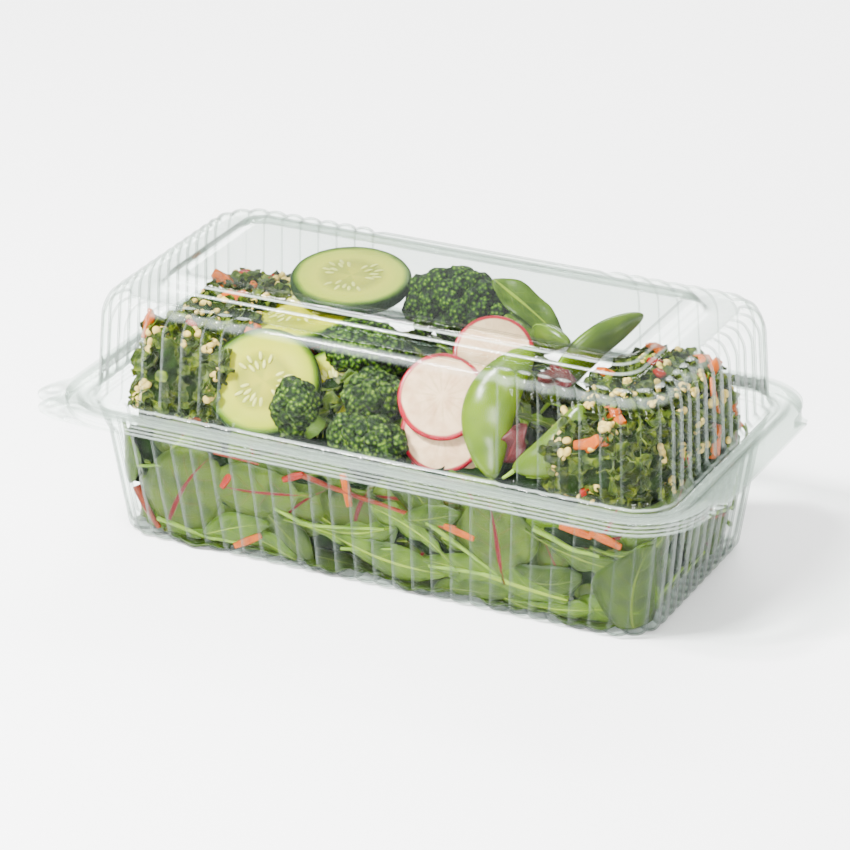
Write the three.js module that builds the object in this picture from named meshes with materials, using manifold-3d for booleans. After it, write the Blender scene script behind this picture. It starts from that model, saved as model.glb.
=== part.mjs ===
// A takeaway meal container: a clear hinged box of thin fluted plastic, closed over a salad.
// Millimetres, +Z up. The origin is on the table under the middle of the box, the hinge is at +X.
import * as THREE from 'three';
import { mergeVertices } from 'three/addons/utils/BufferGeometryUtils.js';
import Module from 'manifold-3d';

const wasm = await Module();
wasm.setup();

// The box: outer size of its flange, corner radii and the thickness of the sheet
const BOX_HALF_X = 111;
const BOX_HALF_Y = 60.7;
const FLANGE_CORNER = 23;
const WALL_CORNER = 12;
const SHEET = 0.5;

// The tray: each point of its section is an inset from the flange's edge and a height
const FLUTE_DEPTH = 1.2;
const TRAY_SECTION = [
  { inset: 26.3, z: 1.2 },
  { inset: 24.4, z: 0.25 },
  { inset: 19.8, z: 0.25 },
  { inset: 18.2, z: 1.6, depth: FLUTE_DEPTH },
  { inset: 14.2, z: 37.6, depth: FLUTE_DEPTH },
  { inset: 12.4, z: 39.4 },
  { inset: 10.8, z: 46.6 },
  { inset: 5.8, z: 46.85 },
  { inset: 3.8, z: 48.25 },
  { inset: 0.45, z: 48.25 },
  { inset: 0.7, z: 44.4 },
];
const TRAY_FLUTES = { long: [[0, 1, 24]], corner: [[0, 1, 3]], short: [[0, 1, 10]] };

// The lid: a raised panel, a ledge round it, the fluted wall and the flange
const LID_SECTION = [
  { inset: 35.2, z: 87.2, corner: 4 },
  { inset: 34.4, z: 87.95, corner: 5 },
  { inset: 30.6, z: 87.95, corner: 7 },
  { inset: 27.4, z: 83.1, corner: 9 },
  { inset: 19.4, z: 82.9 },
  { inset: 15.6, z: 81.4, depth: FLUTE_DEPTH },
  { inset: 13.5, z: 76.4, depth: FLUTE_DEPTH },
  { inset: 12.1, z: 50, depth: FLUTE_DEPTH },
  { inset: 9.6, z: 47.75 },
  { inset: 6.1, z: 47.75 },
  { inset: 4.1, z: 49.15 },
  { inset: 0.1, z: 49.15 },
];
const LID_FLUTES = { long: [[0, 0.24, 6], [0.76, 1, 6]], corner: [[0, 1, 3]], short: [[0, 1, 11]] };

// A flute's crest starts and ends at these shares of its pitch; a plain wall stands between the two levels
const CREST_START = 0.28;
const CREST_END = 0.72;
const PLAIN_LIFT = 0.55;

// The gap that neighbouring pieces keep, and the finest detail that a cut piece keeps
const GAP = 0.4;
const FINEST = 0.2;

// The hinge: a leaf on each half, 5 mm wide, which meet along the fold
const FOLD_X = 115.9;
const LEAF_TIP_X = FOLD_X - GAP;
const LEAF_HALF_Y = 40;
const LEAF_ROOT_X = 108.5;
const LEAF_CORNER = 4;
const TRAY_LEAF_Z = 48;
const LID_LEAF_Z = 48.9;

// The finger tabs at the corner away from the hinge
const TAB_TIP = 6.1;
const LID_TAB_Z = 48.9;
const TRAY_TAB_Z = 44.2;

// The greens fill the tray: section of the heap's core, as insets from the tray's inner wall
const CORE_SECTION = [
  { inset: 12, z: 2 },
  { inset: 5, z: 3.4 },
  { inset: 3.6, z: 9 },
  { inset: 3.4, z: 24 },
  { inset: 4.4, z: 39 },
  { inset: 8, z: 42.4 },
  { inset: 16, z: 43 },
];
const CORE_STEPS = { long: 8, corner: 2, short: 4 };
const CORE_RELIEF = 1.7;

// The greens rise between the two grain salads and carry what lies on top
const MOUND = { centre: [-3, 4, 43], half: [45, 36, 17], power: 3, detail: 3, relief: 3, unevenness: 0.17 };

// Leaves against the front wall: place along the wall, height, turn, length and width
const FRONT_LEAVES = [
  { at: -62, height: 21, turn: 75, length: 34, width: 25 },
  { at: -34, height: 30, turn: 8, length: 44, width: 17 },
  { at: -84, height: 16, turn: 100, length: 26, width: 20 },
  { at: -3, height: 27, turn: -25, length: 36, width: 13 },
  { at: 18, height: 17, turn: -40, length: 38, width: 12 },
  { at: 41, height: 25, turn: 85, length: 31, width: 24 },
  { at: 52, height: 10, turn: 20, length: 52, width: 16 },
  { at: 74, height: 27, turn: -15, length: 36, width: 18 },
  { at: 88, height: 15, turn: 70, length: 30, width: 24 },
];
const OTHER_LEAVES = 8;
const LEAF_ROOT_DEPTH = 5.6;
const LEAF_WAVE = 1.6;
const LEAF_LOWEST = 3.2;
const LEAF_HIGHEST = 43;
const STRAWS = 4;

// The two grain salads at the ends of the heap
const SALADS = [
  { name: 'grain_salad_left', centre: [-73, 0, 46], half: [22.3, 44.6, 24], carrots: 5, grains: 4, seed: 41 },
  { name: 'grain_salad_right', centre: [72.7, 0, 46], half: [22.6, 44.6, 23], carrots: 6, grains: 4, seed: 23 },
];
const SALAD_POWER = 3.4;
const SALAD_DETAIL = 3;
const SALAD_RELIEF = 3.2;
const SALAD_UNEVENNESS = 0.36;
const SALAD_FLOOR_Z = 43.7;

// Round slices: middle, the way their cut face looks, radius and thickness
const CUCUMBER_SLICES = [
  { at: [-39.5, 21, 74], facing: [0.05, -0.13, 0.99], radius: 20, thickness: 4.4 },
  { at: [-51, 7, 65.2], facing: [-0.05, -0.15, 0.985], radius: 20, thickness: 4.4 },
  { at: [-46, -28, 55.6], facing: [0.2, -0.7, 0.68], radius: 18.6, thickness: 4.4 },
  { at: [-27, -15, 51.5], facing: [0.2, -0.7, 0.68], radius: 14, thickness: 4 },
];
const RADISH_SLICES = [
  { at: [24, -5, 69.8], facing: [0.3, -0.7, 0.65], radius: 13, thickness: 2.2 },
  { at: [14, -22, 60], facing: [0.3, -0.75, 0.6], radius: 14.2, thickness: 2.2 },
  { at: [16, -25.6, 49.6], facing: [0.3, -0.75, 0.6], radius: 13.4, thickness: 2.2 },
  { at: [20, -27.8, 39.8], facing: [0.3, -0.75, 0.6], radius: 12.8, thickness: 2.2 },
];

// Broccoli: middle and half sizes of each crown, and where its stem points
const FLORETS = [
  { at: [0, 24, 70.5], half: [24, 15.5, 14.5], stem: [0.1, -0.2, -1], detail: 2 },
  { at: [-22, -3, 62], half: [17, 13, 12], stem: [0.2, 0.3, -1], detail: 2 },
  { at: [-31, -35.5, 53], half: [9.5, 8, 11.5], stem: [0.5, 0.4, -0.8], detail: 1 },
  { at: [-10, -21, 54], half: [12.5, 11, 11], stem: [0.2, 0.6, -0.8], detail: 1 },
  { at: [-6, -35, 47], half: [16, 8.6, 9], stem: [0.3, 0.5, -0.7], detail: 1 },
];
const CROWN_POWER = 2.2;
const CROWN_RELIEF = 0.13;
const CROWN_UNEVENNESS = 0.42;
const STEM_RADIUS = 4;
const STEM_END_RADIUS = 5;
const STEM_REACH = 1.35;

// Pea pods: their two ends, the widest width and the side that they bulge to
const PODS = [
  { from: [35, -38.5, 43.6], to: [37.5, -14, 80], width: 17, thick: 8.6, bulge: [-1, -0.3, 0] },
  { from: [38, 3, 54], to: [61, 24, 81], width: 15, thick: 8, bulge: [0.4, 0, 1] },
  { from: [48, -38, 46], to: [66, -26, 67], width: 13.5, thick: 8, bulge: [1, 0, -0.6] },
  { from: [30, 15, 66], to: [45.5, 1, 77.5], width: 11, thick: 7, bulge: [0, -0.6, 1] },
];
const POD_BEND = 0.16;

// Seeded draws, so that every build is the same
function drawsFrom(seed) {
  let state = seed;
  return (low = 0, high = 1) => {
    state = (state * 1664525 + 1013904223) % 4294967296;
    return low + (high - low) * (state / 4294967296);
  };
}

// A smooth uneven field between 0 and 1
function uneven(x, y, z, scale) {
  const a = Math.sin(x * scale * 1.7 + 1.3 * Math.sin(y * scale));
  const b = Math.sin(y * scale * 1.9 + 1.1 * Math.sin(z * scale + 2));
  const c = Math.sin(z * scale * 2.1 + 1.2 * Math.sin(x * scale + 4));
  return 0.5 + (a + b + c) / 6;
}

// A closed geometry as a solid that can be joined and cut
function solidOf(geometry) {
  const bare = geometry.clone();
  bare.deleteAttribute('normal');
  bare.deleteAttribute('uv');
  const merged = mergeVertices(bare, 1e-4);
  const index = merged.index.array;
  const triangles = [];
  for (let i = 0; i < index.length; i += 3) {
    const [a, b, c] = [index[i], index[i + 1], index[i + 2]];
    if (a !== b && b !== c && c !== a) triangles.push(a, b, c);
  }
  return new wasm.Manifold(new wasm.Mesh({
    numProp: 3,
    vertProperties: new Float32Array(merged.attributes.position.array),
    triVerts: new Uint32Array(triangles),
  }));
}

// The largest connected body of a solid: loose scraps and sealed hollows are left off
function largest(solid) {
  const bodies = solid.decompose();
  return bodies.reduce((best, body) => (body.volume() > best.volume() ? body : best));
}

function geometryOf(solid) {
  const mesh = solid.getMesh();
  const geometry = new THREE.BufferGeometry();
  const positions = new Float32Array(mesh.numVert * 3);
  for (let i = 0; i < mesh.numVert; i += 1) {
    positions.set(mesh.vertProperties.subarray(i * mesh.numProp, i * mesh.numProp + 3), i * 3);
  }
  geometry.setAttribute('position', new THREE.BufferAttribute(positions, 3));
  geometry.setIndex(Array.from(mesh.triVerts));
  return geometry;
}

function moved(geometry, at, facing = [0, 0, 1], spin = 0) {
  const turn = new THREE.Quaternion().setFromUnitVectors(
    new THREE.Vector3(0, 0, 1),
    new THREE.Vector3(...facing).normalize(),
  );
  geometry.rotateZ(spin);
  geometry.applyQuaternion(turn);
  geometry.translate(...at);
  return geometry;
}

// A rounded rectangle is walked in eight stretches: front, corner, right, corner, back, corner, left, corner.
// A station is a stretch, a share of its length and how far it is lifted to a flute's crest.
function cornerCentre(ring, number) {
  const side = (number + 4) % 4;
  const signX = side < 2 ? 1 : -1;
  const signY = side === 0 || side === 3 ? -1 : 1;
  return new THREE.Vector2(signX * (ring.halfX - ring.radius), signY * (ring.halfY - ring.radius));
}

function stationPoint(ring, station) {
  const side = Math.floor(station.stretch / 2);
  const onCorner = station.stretch % 2 === 1;
  const angle = (Math.PI / 2) * (side - 1 + (onCorner ? station.share : 0));
  const centre = onCorner
    ? cornerCentre(ring, side)
    : cornerCentre(ring, side - 1).lerp(cornerCentre(ring, side), station.share);
  const reach = ring.radius + ring.depth * station.lift;
  return [centre.x + reach * Math.cos(angle), centre.y + reach * Math.sin(angle), ring.z];
}

function plainStations(cornerSteps, straightSteps = { long: 1, short: 1 }) {
  const stations = [];
  for (let stretch = 0; stretch < 8; stretch += 1) {
    const straight = stretch % 4 === 0 ? straightSteps.long : straightSteps.short;
    const steps = stretch % 2 === 1 ? cornerSteps : straight;
    for (let i = 0; i < steps; i += 1) stations.push({ stretch, share: i / steps, lift: PLAIN_LIFT });
  }
  return stations;
}

function flutedStations(flutes) {
  const stations = [];
  for (let stretch = 0; stretch < 8; stretch += 1) {
    const groups = stretch % 2 === 1 ? flutes.corner : [flutes.long, flutes.short][(stretch / 2) % 2];
    for (const [from, to, count] of groups) {
      const pitch = (to - from) / count;
      const edge = pitch * CREST_START;
      if (from > 0) stations.push({ stretch, share: from - edge, lift: PLAIN_LIFT });
      for (let i = 0; i < count; i += 1) {
        const start = from + i * pitch;
        stations.push({ stretch, share: start, lift: 0 });
        stations.push({ stretch, share: start + pitch * CREST_START, lift: 1 });
        stations.push({ stretch, share: start + pitch * CREST_END, lift: 1 });
      }
      if (to < 1) {
        stations.push({ stretch, share: to, lift: 0 });
        stations.push({ stretch, share: to + edge, lift: PLAIN_LIFT });
      }
    }
  }
  return stations;
}

// Two neighbouring loops are joined by triangles that step along both by their place on the walk
function joinLoops(lower, upper, triangles) {
  const place = (loop, i) => {
    const station = loop.stations[i % loop.stations.length];
    return station.stretch + station.share + (i >= loop.stations.length ? 8 : 0);
  };
  const lowerCount = lower.stations.length;
  const upperCount = upper.stations.length;
  let i = 0;
  let j = 0;
  while (i < lowerCount || j < upperCount) {
    const stepLower = j >= upperCount || (i < lowerCount && place(lower, i + 1) <= place(upper, j + 1));
    const a = lower.first + (i % lowerCount);
    const b = upper.first + (j % upperCount);
    if (stepLower) {
      triangles.push(a, lower.first + ((i + 1) % lowerCount), b);
      i += 1;
    } else {
      triangles.push(a, upper.first + ((j + 1) % upperCount), b);
      j += 1;
    }
  }
}

function capLoop(loop, facingUp, triangles) {
  for (let i = 1; i < loop.stations.length - 1; i += 1) {
    const [a, b, c] = [loop.first, loop.first + i, loop.first + i + 1];
    triangles.push(a, facingUp ? b : c, facingUp ? c : b);
  }
}

// A closed body through a row of loops, capped at its first and last one
function loft(loops) {
  const positions = [];
  const triangles = [];
  for (const loop of loops) {
    loop.first = positions.length / 3;
    for (const point of loop.points) positions.push(...point);
  }
  capLoop(loops[0], false, triangles);
  for (let k = 0; k < loops.length - 1; k += 1) joinLoops(loops[k], loops[k + 1], triangles);
  capLoop(loops[loops.length - 1], true, triangles);
  const geometry = new THREE.BufferGeometry();
  geometry.setAttribute('position', new THREE.BufferAttribute(new Float32Array(positions), 3));
  geometry.setIndex(triangles);
  return geometry;
}

// The size and radius of the loop at an inset from the flange's edge
function ringAt(inset, z, depth = 0, corner = Math.max(FLANGE_CORNER - inset, WALL_CORNER)) {
  return { halfX: BOX_HALF_X - inset, halfY: BOX_HALF_Y - inset, radius: corner, z, depth };
}

// A thin sheet along a section that runs from the middle out to the free edge:
// its first side is walked outwards and its second side back, half a thickness to either side
function sheetShell(section, flutes) {
  const plain = plainStations(6);
  const fluted = flutedStations(flutes);
  const normals = section.slice(1).map((point, i) => {
    const run = new THREE.Vector2(section[i].inset - point.inset, point.z - section[i].z).normalize();
    return new THREE.Vector2(run.y, -run.x);
  });
  const side = (sign) => section.map((point, i) => {
    const before = normals[Math.max(i - 1, 0)];
    const after = normals[Math.min(i, normals.length - 1)];
    const shift = before.clone().add(after).multiplyScalar((sign * SHEET) / 2 / (1 + before.dot(after)));
    const ring = ringAt(point.inset - shift.x, point.z + shift.y, point.depth ?? 0, point.corner);
    const stations = point.depth ? fluted : plain;
    return { stations, points: stations.map((station) => stationPoint(ring, station)) };
  });
  return loft([...side(1), ...side(-1).reverse()]);
}

// A flat plate that is pushed up from its outline
function plate(outline, z) {
  const geometry = new THREE.ExtrudeGeometry(outline, { depth: SHEET, bevelEnabled: false, curveSegments: 5 });
  geometry.translate(0, 0, z);
  return geometry;
}

function hingeLeaf(z) {
  const outline = new THREE.Shape();
  outline.moveTo(LEAF_ROOT_X, -LEAF_HALF_Y);
  outline.lineTo(LEAF_TIP_X - LEAF_CORNER, -LEAF_HALF_Y);
  outline.absarc(LEAF_TIP_X - LEAF_CORNER, LEAF_CORNER - LEAF_HALF_Y, LEAF_CORNER, -Math.PI / 2, 0, false);
  outline.absarc(LEAF_TIP_X - LEAF_CORNER, LEAF_HALF_Y - LEAF_CORNER, LEAF_CORNER, 0, Math.PI / 2, false);
  outline.lineTo(LEAF_ROOT_X, LEAF_HALF_Y);
  return plate(outline, z);
}

// The tab fills the flange's rounded corner at -X -Y and runs out to a blunt tip
function fingerTab(z, rootRadius) {
  const centreX = FLANGE_CORNER - BOX_HALF_X;
  const centreY = FLANGE_CORNER - BOX_HALF_Y;
  const outline = new THREE.Shape();
  outline.absarc(centreX, centreY, rootRadius, 1.5 * Math.PI, Math.PI, true);
  outline.lineTo(-BOX_HALF_X, centreY - 1);
  outline.bezierCurveTo(
    -BOX_HALF_X - TAB_TIP, centreY - 9,
    -BOX_HALF_X - TAB_TIP, -BOX_HALF_Y + 6,
    -BOX_HALF_X + 1, -BOX_HALF_Y + 2.6,
  );
  outline.bezierCurveTo(
    -BOX_HALF_X + 7, -BOX_HALF_Y - 0.6,
    centreX - 8, -BOX_HALF_Y,
    centreX, -BOX_HALF_Y + 0.1,
  );
  return plate(outline, z);
}

function traySolid() {
  const shell = solidOf(sheetShell(TRAY_SECTION, TRAY_FLUTES));
  const leaf = solidOf(hingeLeaf(TRAY_LEAF_Z));
  const tab = solidOf(fingerTab(TRAY_TAB_Z, FLANGE_CORNER - 1));
  return shell.add(leaf).add(tab);
}

function lidSolid() {
  const shell = solidOf(sheetShell(LID_SECTION, LID_FLUTES));
  const leaf = solidOf(hingeLeaf(LID_LEAF_Z));
  const tab = solidOf(fingerTab(LID_TAB_Z, FLANGE_CORNER - 1));
  return shell.add(leaf).add(tab);
}

// The inset of the tray's inner face at a height
function trayInnerInset(z) {
  const low = TRAY_SECTION[3];
  const high = TRAY_SECTION[4];
  const share = THREE.MathUtils.clamp((z - low.z) / (high.z - low.z), 0, 1);
  return THREE.MathUtils.lerp(low.inset, high.inset, share) + SHEET / 2;
}

// A unit ball squared towards a box, with dents of the given depth and never a bump beyond it
function dentedBall(detail, power, half, relief, scale, seed) {
  const geometry = new THREE.IcosahedronGeometry(1, detail);
  const position = geometry.attributes.position;
  const point = new THREE.Vector3();
  for (let i = 0; i < position.count; i += 1) {
    point.fromBufferAttribute(position, i).normalize();
    const norm = Math.abs(point.x) ** power + Math.abs(point.y) ** power + Math.abs(point.z) ** power;
    point.multiplyScalar(norm ** (-1 / power));
    point.multiply(new THREE.Vector3(...half));
    const dent = relief * uneven(point.x + seed, point.y, point.z - seed, scale);
    point.multiplyScalar(1 - dent / point.length());
    position.setXYZ(i, point.x, point.y, point.z);
  }
  return geometry;
}

// A wavy leaf that grows out of the heap's core: both faces are split into triangles alike
function leafGeometry(length, width, draw, place) {
  const rows = 3;
  const columns = 2;
  const phase = draw(0, 6);
  const faces = [false, true].map((root) => {
    const grid = [];
    for (let i = 0; i <= rows; i += 1) {
      const t = i / rows;
      const half = (width / 2) * Math.sin(Math.PI * (0.06 + 0.88 * t ** 0.85)) ** 0.8;
      for (let j = 0; j <= columns; j += 1) {
        const across = (j / columns - 0.5) * 2;
        const lift = LEAF_WAVE * (0.5 + 0.5 * Math.sin(phase + 5 * t + 2 * across) + 0.4 * Math.abs(across));
        grid.push(place(length * (t - 0.5), half * across, root ? LEAF_ROOT_DEPTH : lift));
      }
    }
    return grid;
  });
  const count = faces[0].length;
  const at = (i, j) => i * (columns + 1) + j;
  const triangles = [];
  for (let i = 0; i < rows; i += 1) {
    for (let j = 0; j < columns; j += 1) {
      const [a, b, c, d] = [at(i, j), at(i + 1, j), at(i + 1, j + 1), at(i, j + 1)];
      triangles.push(a, b, c, a, c, d);
      triangles.push(count + a, count + c, count + b, count + a, count + d, count + c);
    }
  }
  const rim = [];
  for (let i = 0; i < rows; i += 1) rim.push(at(i, 0));
  for (let j = 0; j < columns; j += 1) rim.push(at(rows, j));
  for (let i = rows; i > 0; i -= 1) rim.push(at(i, columns));
  for (let j = columns; j > 0; j -= 1) rim.push(at(0, j));
  rim.forEach((a, k) => {
    const b = rim[(k + 1) % rim.length];
    triangles.push(a, count + b, b, a, count + a, count + b);
  });
  const geometry = new THREE.BufferGeometry();
  geometry.setAttribute('position', new THREE.BufferAttribute(new Float32Array(faces.flat(2)), 3));
  geometry.setIndex(triangles);
  return geometry;
}

// A point against the tray's inner wall: distance round the walls from the front's middle, height, depth
function wallPlace(at, height, depth) {
  const inset = trayInnerInset(height) + depth;
  const ring = ringAt(inset, height);
  const straightX = 2 * (ring.halfX - ring.radius);
  const straightY = 2 * (ring.halfY - ring.radius);
  const arc = (Math.PI / 2) * ring.radius;
  const runs = [straightX, arc, straightY, arc, straightX, arc, straightY, arc];
  const total = runs.reduce((sum, run) => sum + run, 0);
  let left = (((at + straightX / 2) % total) + total) % total;
  let stretch = 0;
  while (left > runs[stretch]) {
    left -= runs[stretch];
    stretch += 1;
  }
  return stationPoint(ring, { stretch, share: left / runs[stretch], lift: 0 });
}

function leafAgainstWall(leaf, draw) {
  const turn = THREE.MathUtils.degToRad(leaf.turn);
  return leafGeometry(leaf.length, leaf.width, draw, (along, across, depth) => {
    const run = leaf.at + along * Math.cos(turn) - across * Math.sin(turn);
    const rise = leaf.height + along * Math.sin(turn) + across * Math.cos(turn);
    const height = THREE.MathUtils.clamp(rise, LEAF_LOWEST, LEAF_HIGHEST);
    return wallPlace(run, height, GAP + depth);
  });
}

function greensCore() {
  const stations = plainStations(CORE_STEPS.corner, CORE_STEPS);
  const loops = CORE_SECTION.map((point) => {
    const ring = ringAt(trayInnerInset(point.z) + point.inset, point.z);
    const points = stations.map((station) => {
      const [x, y, z] = stationPoint(ring, station);
      const pull = 1 - (CORE_RELIEF * uneven(x, y, z, 0.21)) / Math.hypot(x, y);
      return [x * pull, y * pull, z];
    });
    return { stations, points };
  });
  return solidOf(loft(loops));
}

// The bed of greens: a core, the mound under the toppings, leaves, and stems and shreds against the walls
function greensSolid(cutters) {
  const draw = drawsFrom(11);
  const mound = dentedBall(MOUND.detail, MOUND.power, MOUND.half, MOUND.relief, MOUND.unevenness, 3);
  mound.translate(...MOUND.centre);
  const leaves = FRONT_LEAVES.map((leaf) => leafAgainstWall(leaf, draw));
  const frontRun = BOX_HALF_X - 8;
  for (let i = 0; i < OTHER_LEAVES; i += 1) {
    const leaf = {
      at: frontRun + 16 + (i * 368) / OTHER_LEAVES,
      height: draw(12, 32),
      turn: draw(20, 160),
      length: draw(28, 42),
      width: draw(14, 24),
    };
    leaves.push(leafAgainstWall(leaf, draw));
  }
  for (let i = 0; i < STRAWS; i += 1) {
    const straw = {
      at: -90 + (i * 560) / STRAWS + draw(-8, 8),
      height: draw(14, 36),
      turn: draw(-35, 35),
      length: draw(30, 46),
      width: 2.4,
    };
    leaves.push(leafAgainstWall(straw, draw));
  }
  const whole = wasm.Manifold.union([greensCore(), solidOf(mound), ...leaves.map(solidOf)]);
  return largest(whole.subtract(wasm.Manifold.union(cutters)).simplify(FINEST));
}

// A grain salad: a dented heap with shreds of carrot and clumps of grain standing out of it
function saladSolid(salad, cutters) {
  const draw = drawsFrom(salad.seed);
  const heap = dentedBall(SALAD_DETAIL, SALAD_POWER, salad.half, SALAD_RELIEF, SALAD_UNEVENNESS, salad.seed);
  heap.translate(...salad.centre);
  const pieces = [solidOf(heap)];
  const onHeap = () => {
    const around = draw(0, 2 * Math.PI);
    const out = draw(0.1, 0.86);
    const [x, y] = [Math.cos(around) * out, Math.sin(around) * out];
    const z = (1 - Math.abs(x) ** SALAD_POWER - Math.abs(y) ** SALAD_POWER) ** (1 / SALAD_POWER);
    const middle = new THREE.Vector3(...salad.centre);
    return new THREE.Vector3(x, y, z).multiply(new THREE.Vector3(...salad.half)).multiplyScalar(0.96).add(middle);
  };
  for (let i = 0; i < salad.carrots; i += 1) {
    const shred = new THREE.BoxGeometry(draw(8, 14), draw(2.6, 4), 2.4);
    shred.rotateY(draw(-0.25, 0.25));
    pieces.push(solidOf(moved(shred, onHeap().toArray(), [0, 0, 1], draw(0, Math.PI))));
  }
  for (let i = 0; i < salad.grains; i += 1) {
    const grain = new THREE.IcosahedronGeometry(draw(1.8, 2.6), 0);
    pieces.push(solidOf(moved(grain, onHeap().toArray(), [0, 0, 1], draw(0, Math.PI))));
  }
  const floor = new THREE.BoxGeometry(2 * BOX_HALF_X, 2 * BOX_HALF_Y, 2 * BOX_HALF_X);
  floor.translate(0, 0, SALAD_FLOOR_Z - BOX_HALF_X);
  const whole = wasm.Manifold.union(pieces);
  return largest(whole.subtract(wasm.Manifold.union([solidOf(floor), ...cutters])).simplify(FINEST));
}

// A round slice with a blunt rounded rim
function sliceGeometry(slice, radius = slice.radius, thickness = slice.thickness, sides = 18) {
  const rim = 0.22 * thickness;
  const half = thickness / 2;
  const profile = [[0, -half], [radius - rim, -half], [radius, 0], [radius - rim, half], [0, half]];
  const turned = new THREE.LatheGeometry(profile.map(([x, y]) => new THREE.Vector2(x, y)), sides);
  turned.rotateX(Math.PI / 2);
  return moved(turned, slice.at, slice.facing);
}

// The room round a slice: a coarse disc that stands clear of it all over
function discGeometry(slice) {
  const sides = 12;
  const radius = (slice.radius + GAP) / Math.cos(Math.PI / sides);
  const disc = new THREE.CylinderGeometry(radius, radius, slice.thickness + 2 * GAP, sides);
  disc.rotateX(Math.PI / 2);
  return moved(disc, slice.at, slice.facing);
}

// A stem of broccoli runs from the middle of its crown to its cut end
function stemGeometry(floret, grow = 0) {
  const reach = STEM_REACH * Math.min(...floret.half) + grow;
  const stem = new THREE.CylinderGeometry(STEM_END_RADIUS + grow, STEM_RADIUS + grow, reach, 6, 1);
  stem.rotateX(-Math.PI / 2);
  stem.translate(0, 0, reach / 2);
  return moved(stem, floret.at, floret.stem);
}

function crownGeometry(floret, grow, relief) {
  const half = floret.half.map((value) => value + grow);
  const dent = relief * Math.min(...half);
  const crown = dentedBall(floret.detail, CROWN_POWER, half, dent, CROWN_UNEVENNESS, floret.at[0]);
  crown.translate(...floret.at);
  return crown;
}

// A pod is a flat ball stretched between its ends and bent like a bow
function podGeometry(pod, grow = 0) {
  const from = new THREE.Vector3(...pod.from);
  const to = new THREE.Vector3(...pod.to);
  const axis = to.clone().sub(from);
  const half = axis.length() / 2;
  axis.normalize();
  const side = new THREE.Vector3(...pod.bulge).projectOnPlane(axis).normalize();
  const flat = new THREE.Vector3().crossVectors(side, axis);
  const ball = new THREE.SphereGeometry(1, 7, 8);
  const position = ball.attributes.position;
  const point = new THREE.Vector3();
  for (let i = 0; i < position.count; i += 1) {
    point.fromBufferAttribute(position, i);
    const along = point.y * (half + grow);
    const bow = 2 * half * POD_BEND * (0.5 - point.y * point.y);
    const across = point.x * (pod.width / 2 + grow) + bow;
    const through = point.z * (pod.thick / 2 + grow);
    point.copy(from).add(to).multiplyScalar(0.5);
    point.addScaledVector(axis, along).addScaledVector(side, across).addScaledVector(flat, through);
    position.setXYZ(i, point.x, point.y, point.z);
  }
  return ball;
}

// The keep-clear room round each topping: its own smooth form, larger by the gap
function roomRound() {
  const slices = [...CUCUMBER_SLICES, ...RADISH_SLICES];
  return {
    slices: slices.map((slice) => solidOf(discGeometry(slice))),
    pods: PODS.map((pod) => solidOf(podGeometry(pod, GAP))),
    florets: FLORETS.map((floret) => solidOf(crownGeometry(floret, 3 * GAP, 0))
      .add(solidOf(stemGeometry(floret, 2 * GAP)))),
  };
}

const container = new THREE.Group();

function addPiece(name, solid, color, roughness, extra = {}) {
  const material = new THREE.MeshStandardMaterial({ color, roughness, metalness: 0, ...extra });
  const mesh = new THREE.Mesh(geometryOf(solid), material);
  mesh.name = name;
  container.add(mesh);
}

const clear = { transparent: true, opacity: 0.35 };
const room = roomRound();
const firmRoom = [...room.slices, ...room.pods];

addPiece('tray', traySolid(), 0xe9eeee, 0.08, clear);
addPiece('lid', lidSolid(), 0xe9eeee, 0.08, clear);

const toppings = [...firmRoom, ...room.florets];
addPiece('greens_bed', greensSolid(toppings), 0x4f7d2b, 0.6);
SALADS.forEach((salad) => addPiece(salad.name, saladSolid(salad, toppings), 0x47632a, 0.75));

CUCUMBER_SLICES.forEach((slice, i) => {
  addPiece(`cucumber_slice_${i + 1}`, solidOf(sliceGeometry(slice)), 0xc9d68b, 0.4);
});
RADISH_SLICES.forEach((slice, i) => {
  const solid = solidOf(sliceGeometry(slice, slice.radius, slice.thickness, 14));
  addPiece(`radish_slice_${i + 1}`, solid, 0xf1dfe0, 0.4);
});
PODS.forEach((pod, i) => addPiece(`pea_pod_${i + 1}`, solidOf(podGeometry(pod)), 0x6f9a33, 0.45));

// Each floret gives way to the slices, the pods and the florets before it
FLORETS.forEach((floret, i) => {
  const crown = solidOf(crownGeometry(floret, 0, CROWN_RELIEF));
  const whole = crown.add(solidOf(stemGeometry(floret)));
  const cutters = wasm.Manifold.union([...firmRoom, ...room.florets.slice(0, i)]);
  addPiece(`broccoli_floret_${i + 1}`, largest(whole.subtract(cutters).simplify(FINEST)), 0x3f6b2c, 0.8);
});

export default container;
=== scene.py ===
import math
import random
from collections import namedtuple

import bmesh
import bpy
import numpy as np
from mathutils import Matrix, Vector, noise


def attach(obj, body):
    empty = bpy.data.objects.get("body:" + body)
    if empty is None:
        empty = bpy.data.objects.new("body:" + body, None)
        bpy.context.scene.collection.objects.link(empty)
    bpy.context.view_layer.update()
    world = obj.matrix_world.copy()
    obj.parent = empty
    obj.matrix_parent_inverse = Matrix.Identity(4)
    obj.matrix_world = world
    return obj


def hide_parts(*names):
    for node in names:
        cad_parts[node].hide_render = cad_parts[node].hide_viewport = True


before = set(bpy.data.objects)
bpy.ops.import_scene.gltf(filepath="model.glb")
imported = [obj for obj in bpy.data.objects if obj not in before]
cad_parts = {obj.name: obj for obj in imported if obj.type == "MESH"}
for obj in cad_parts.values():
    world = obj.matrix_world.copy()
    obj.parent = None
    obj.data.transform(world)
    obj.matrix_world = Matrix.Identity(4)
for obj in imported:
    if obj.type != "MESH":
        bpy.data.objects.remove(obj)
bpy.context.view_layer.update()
MM = 0.001

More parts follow.
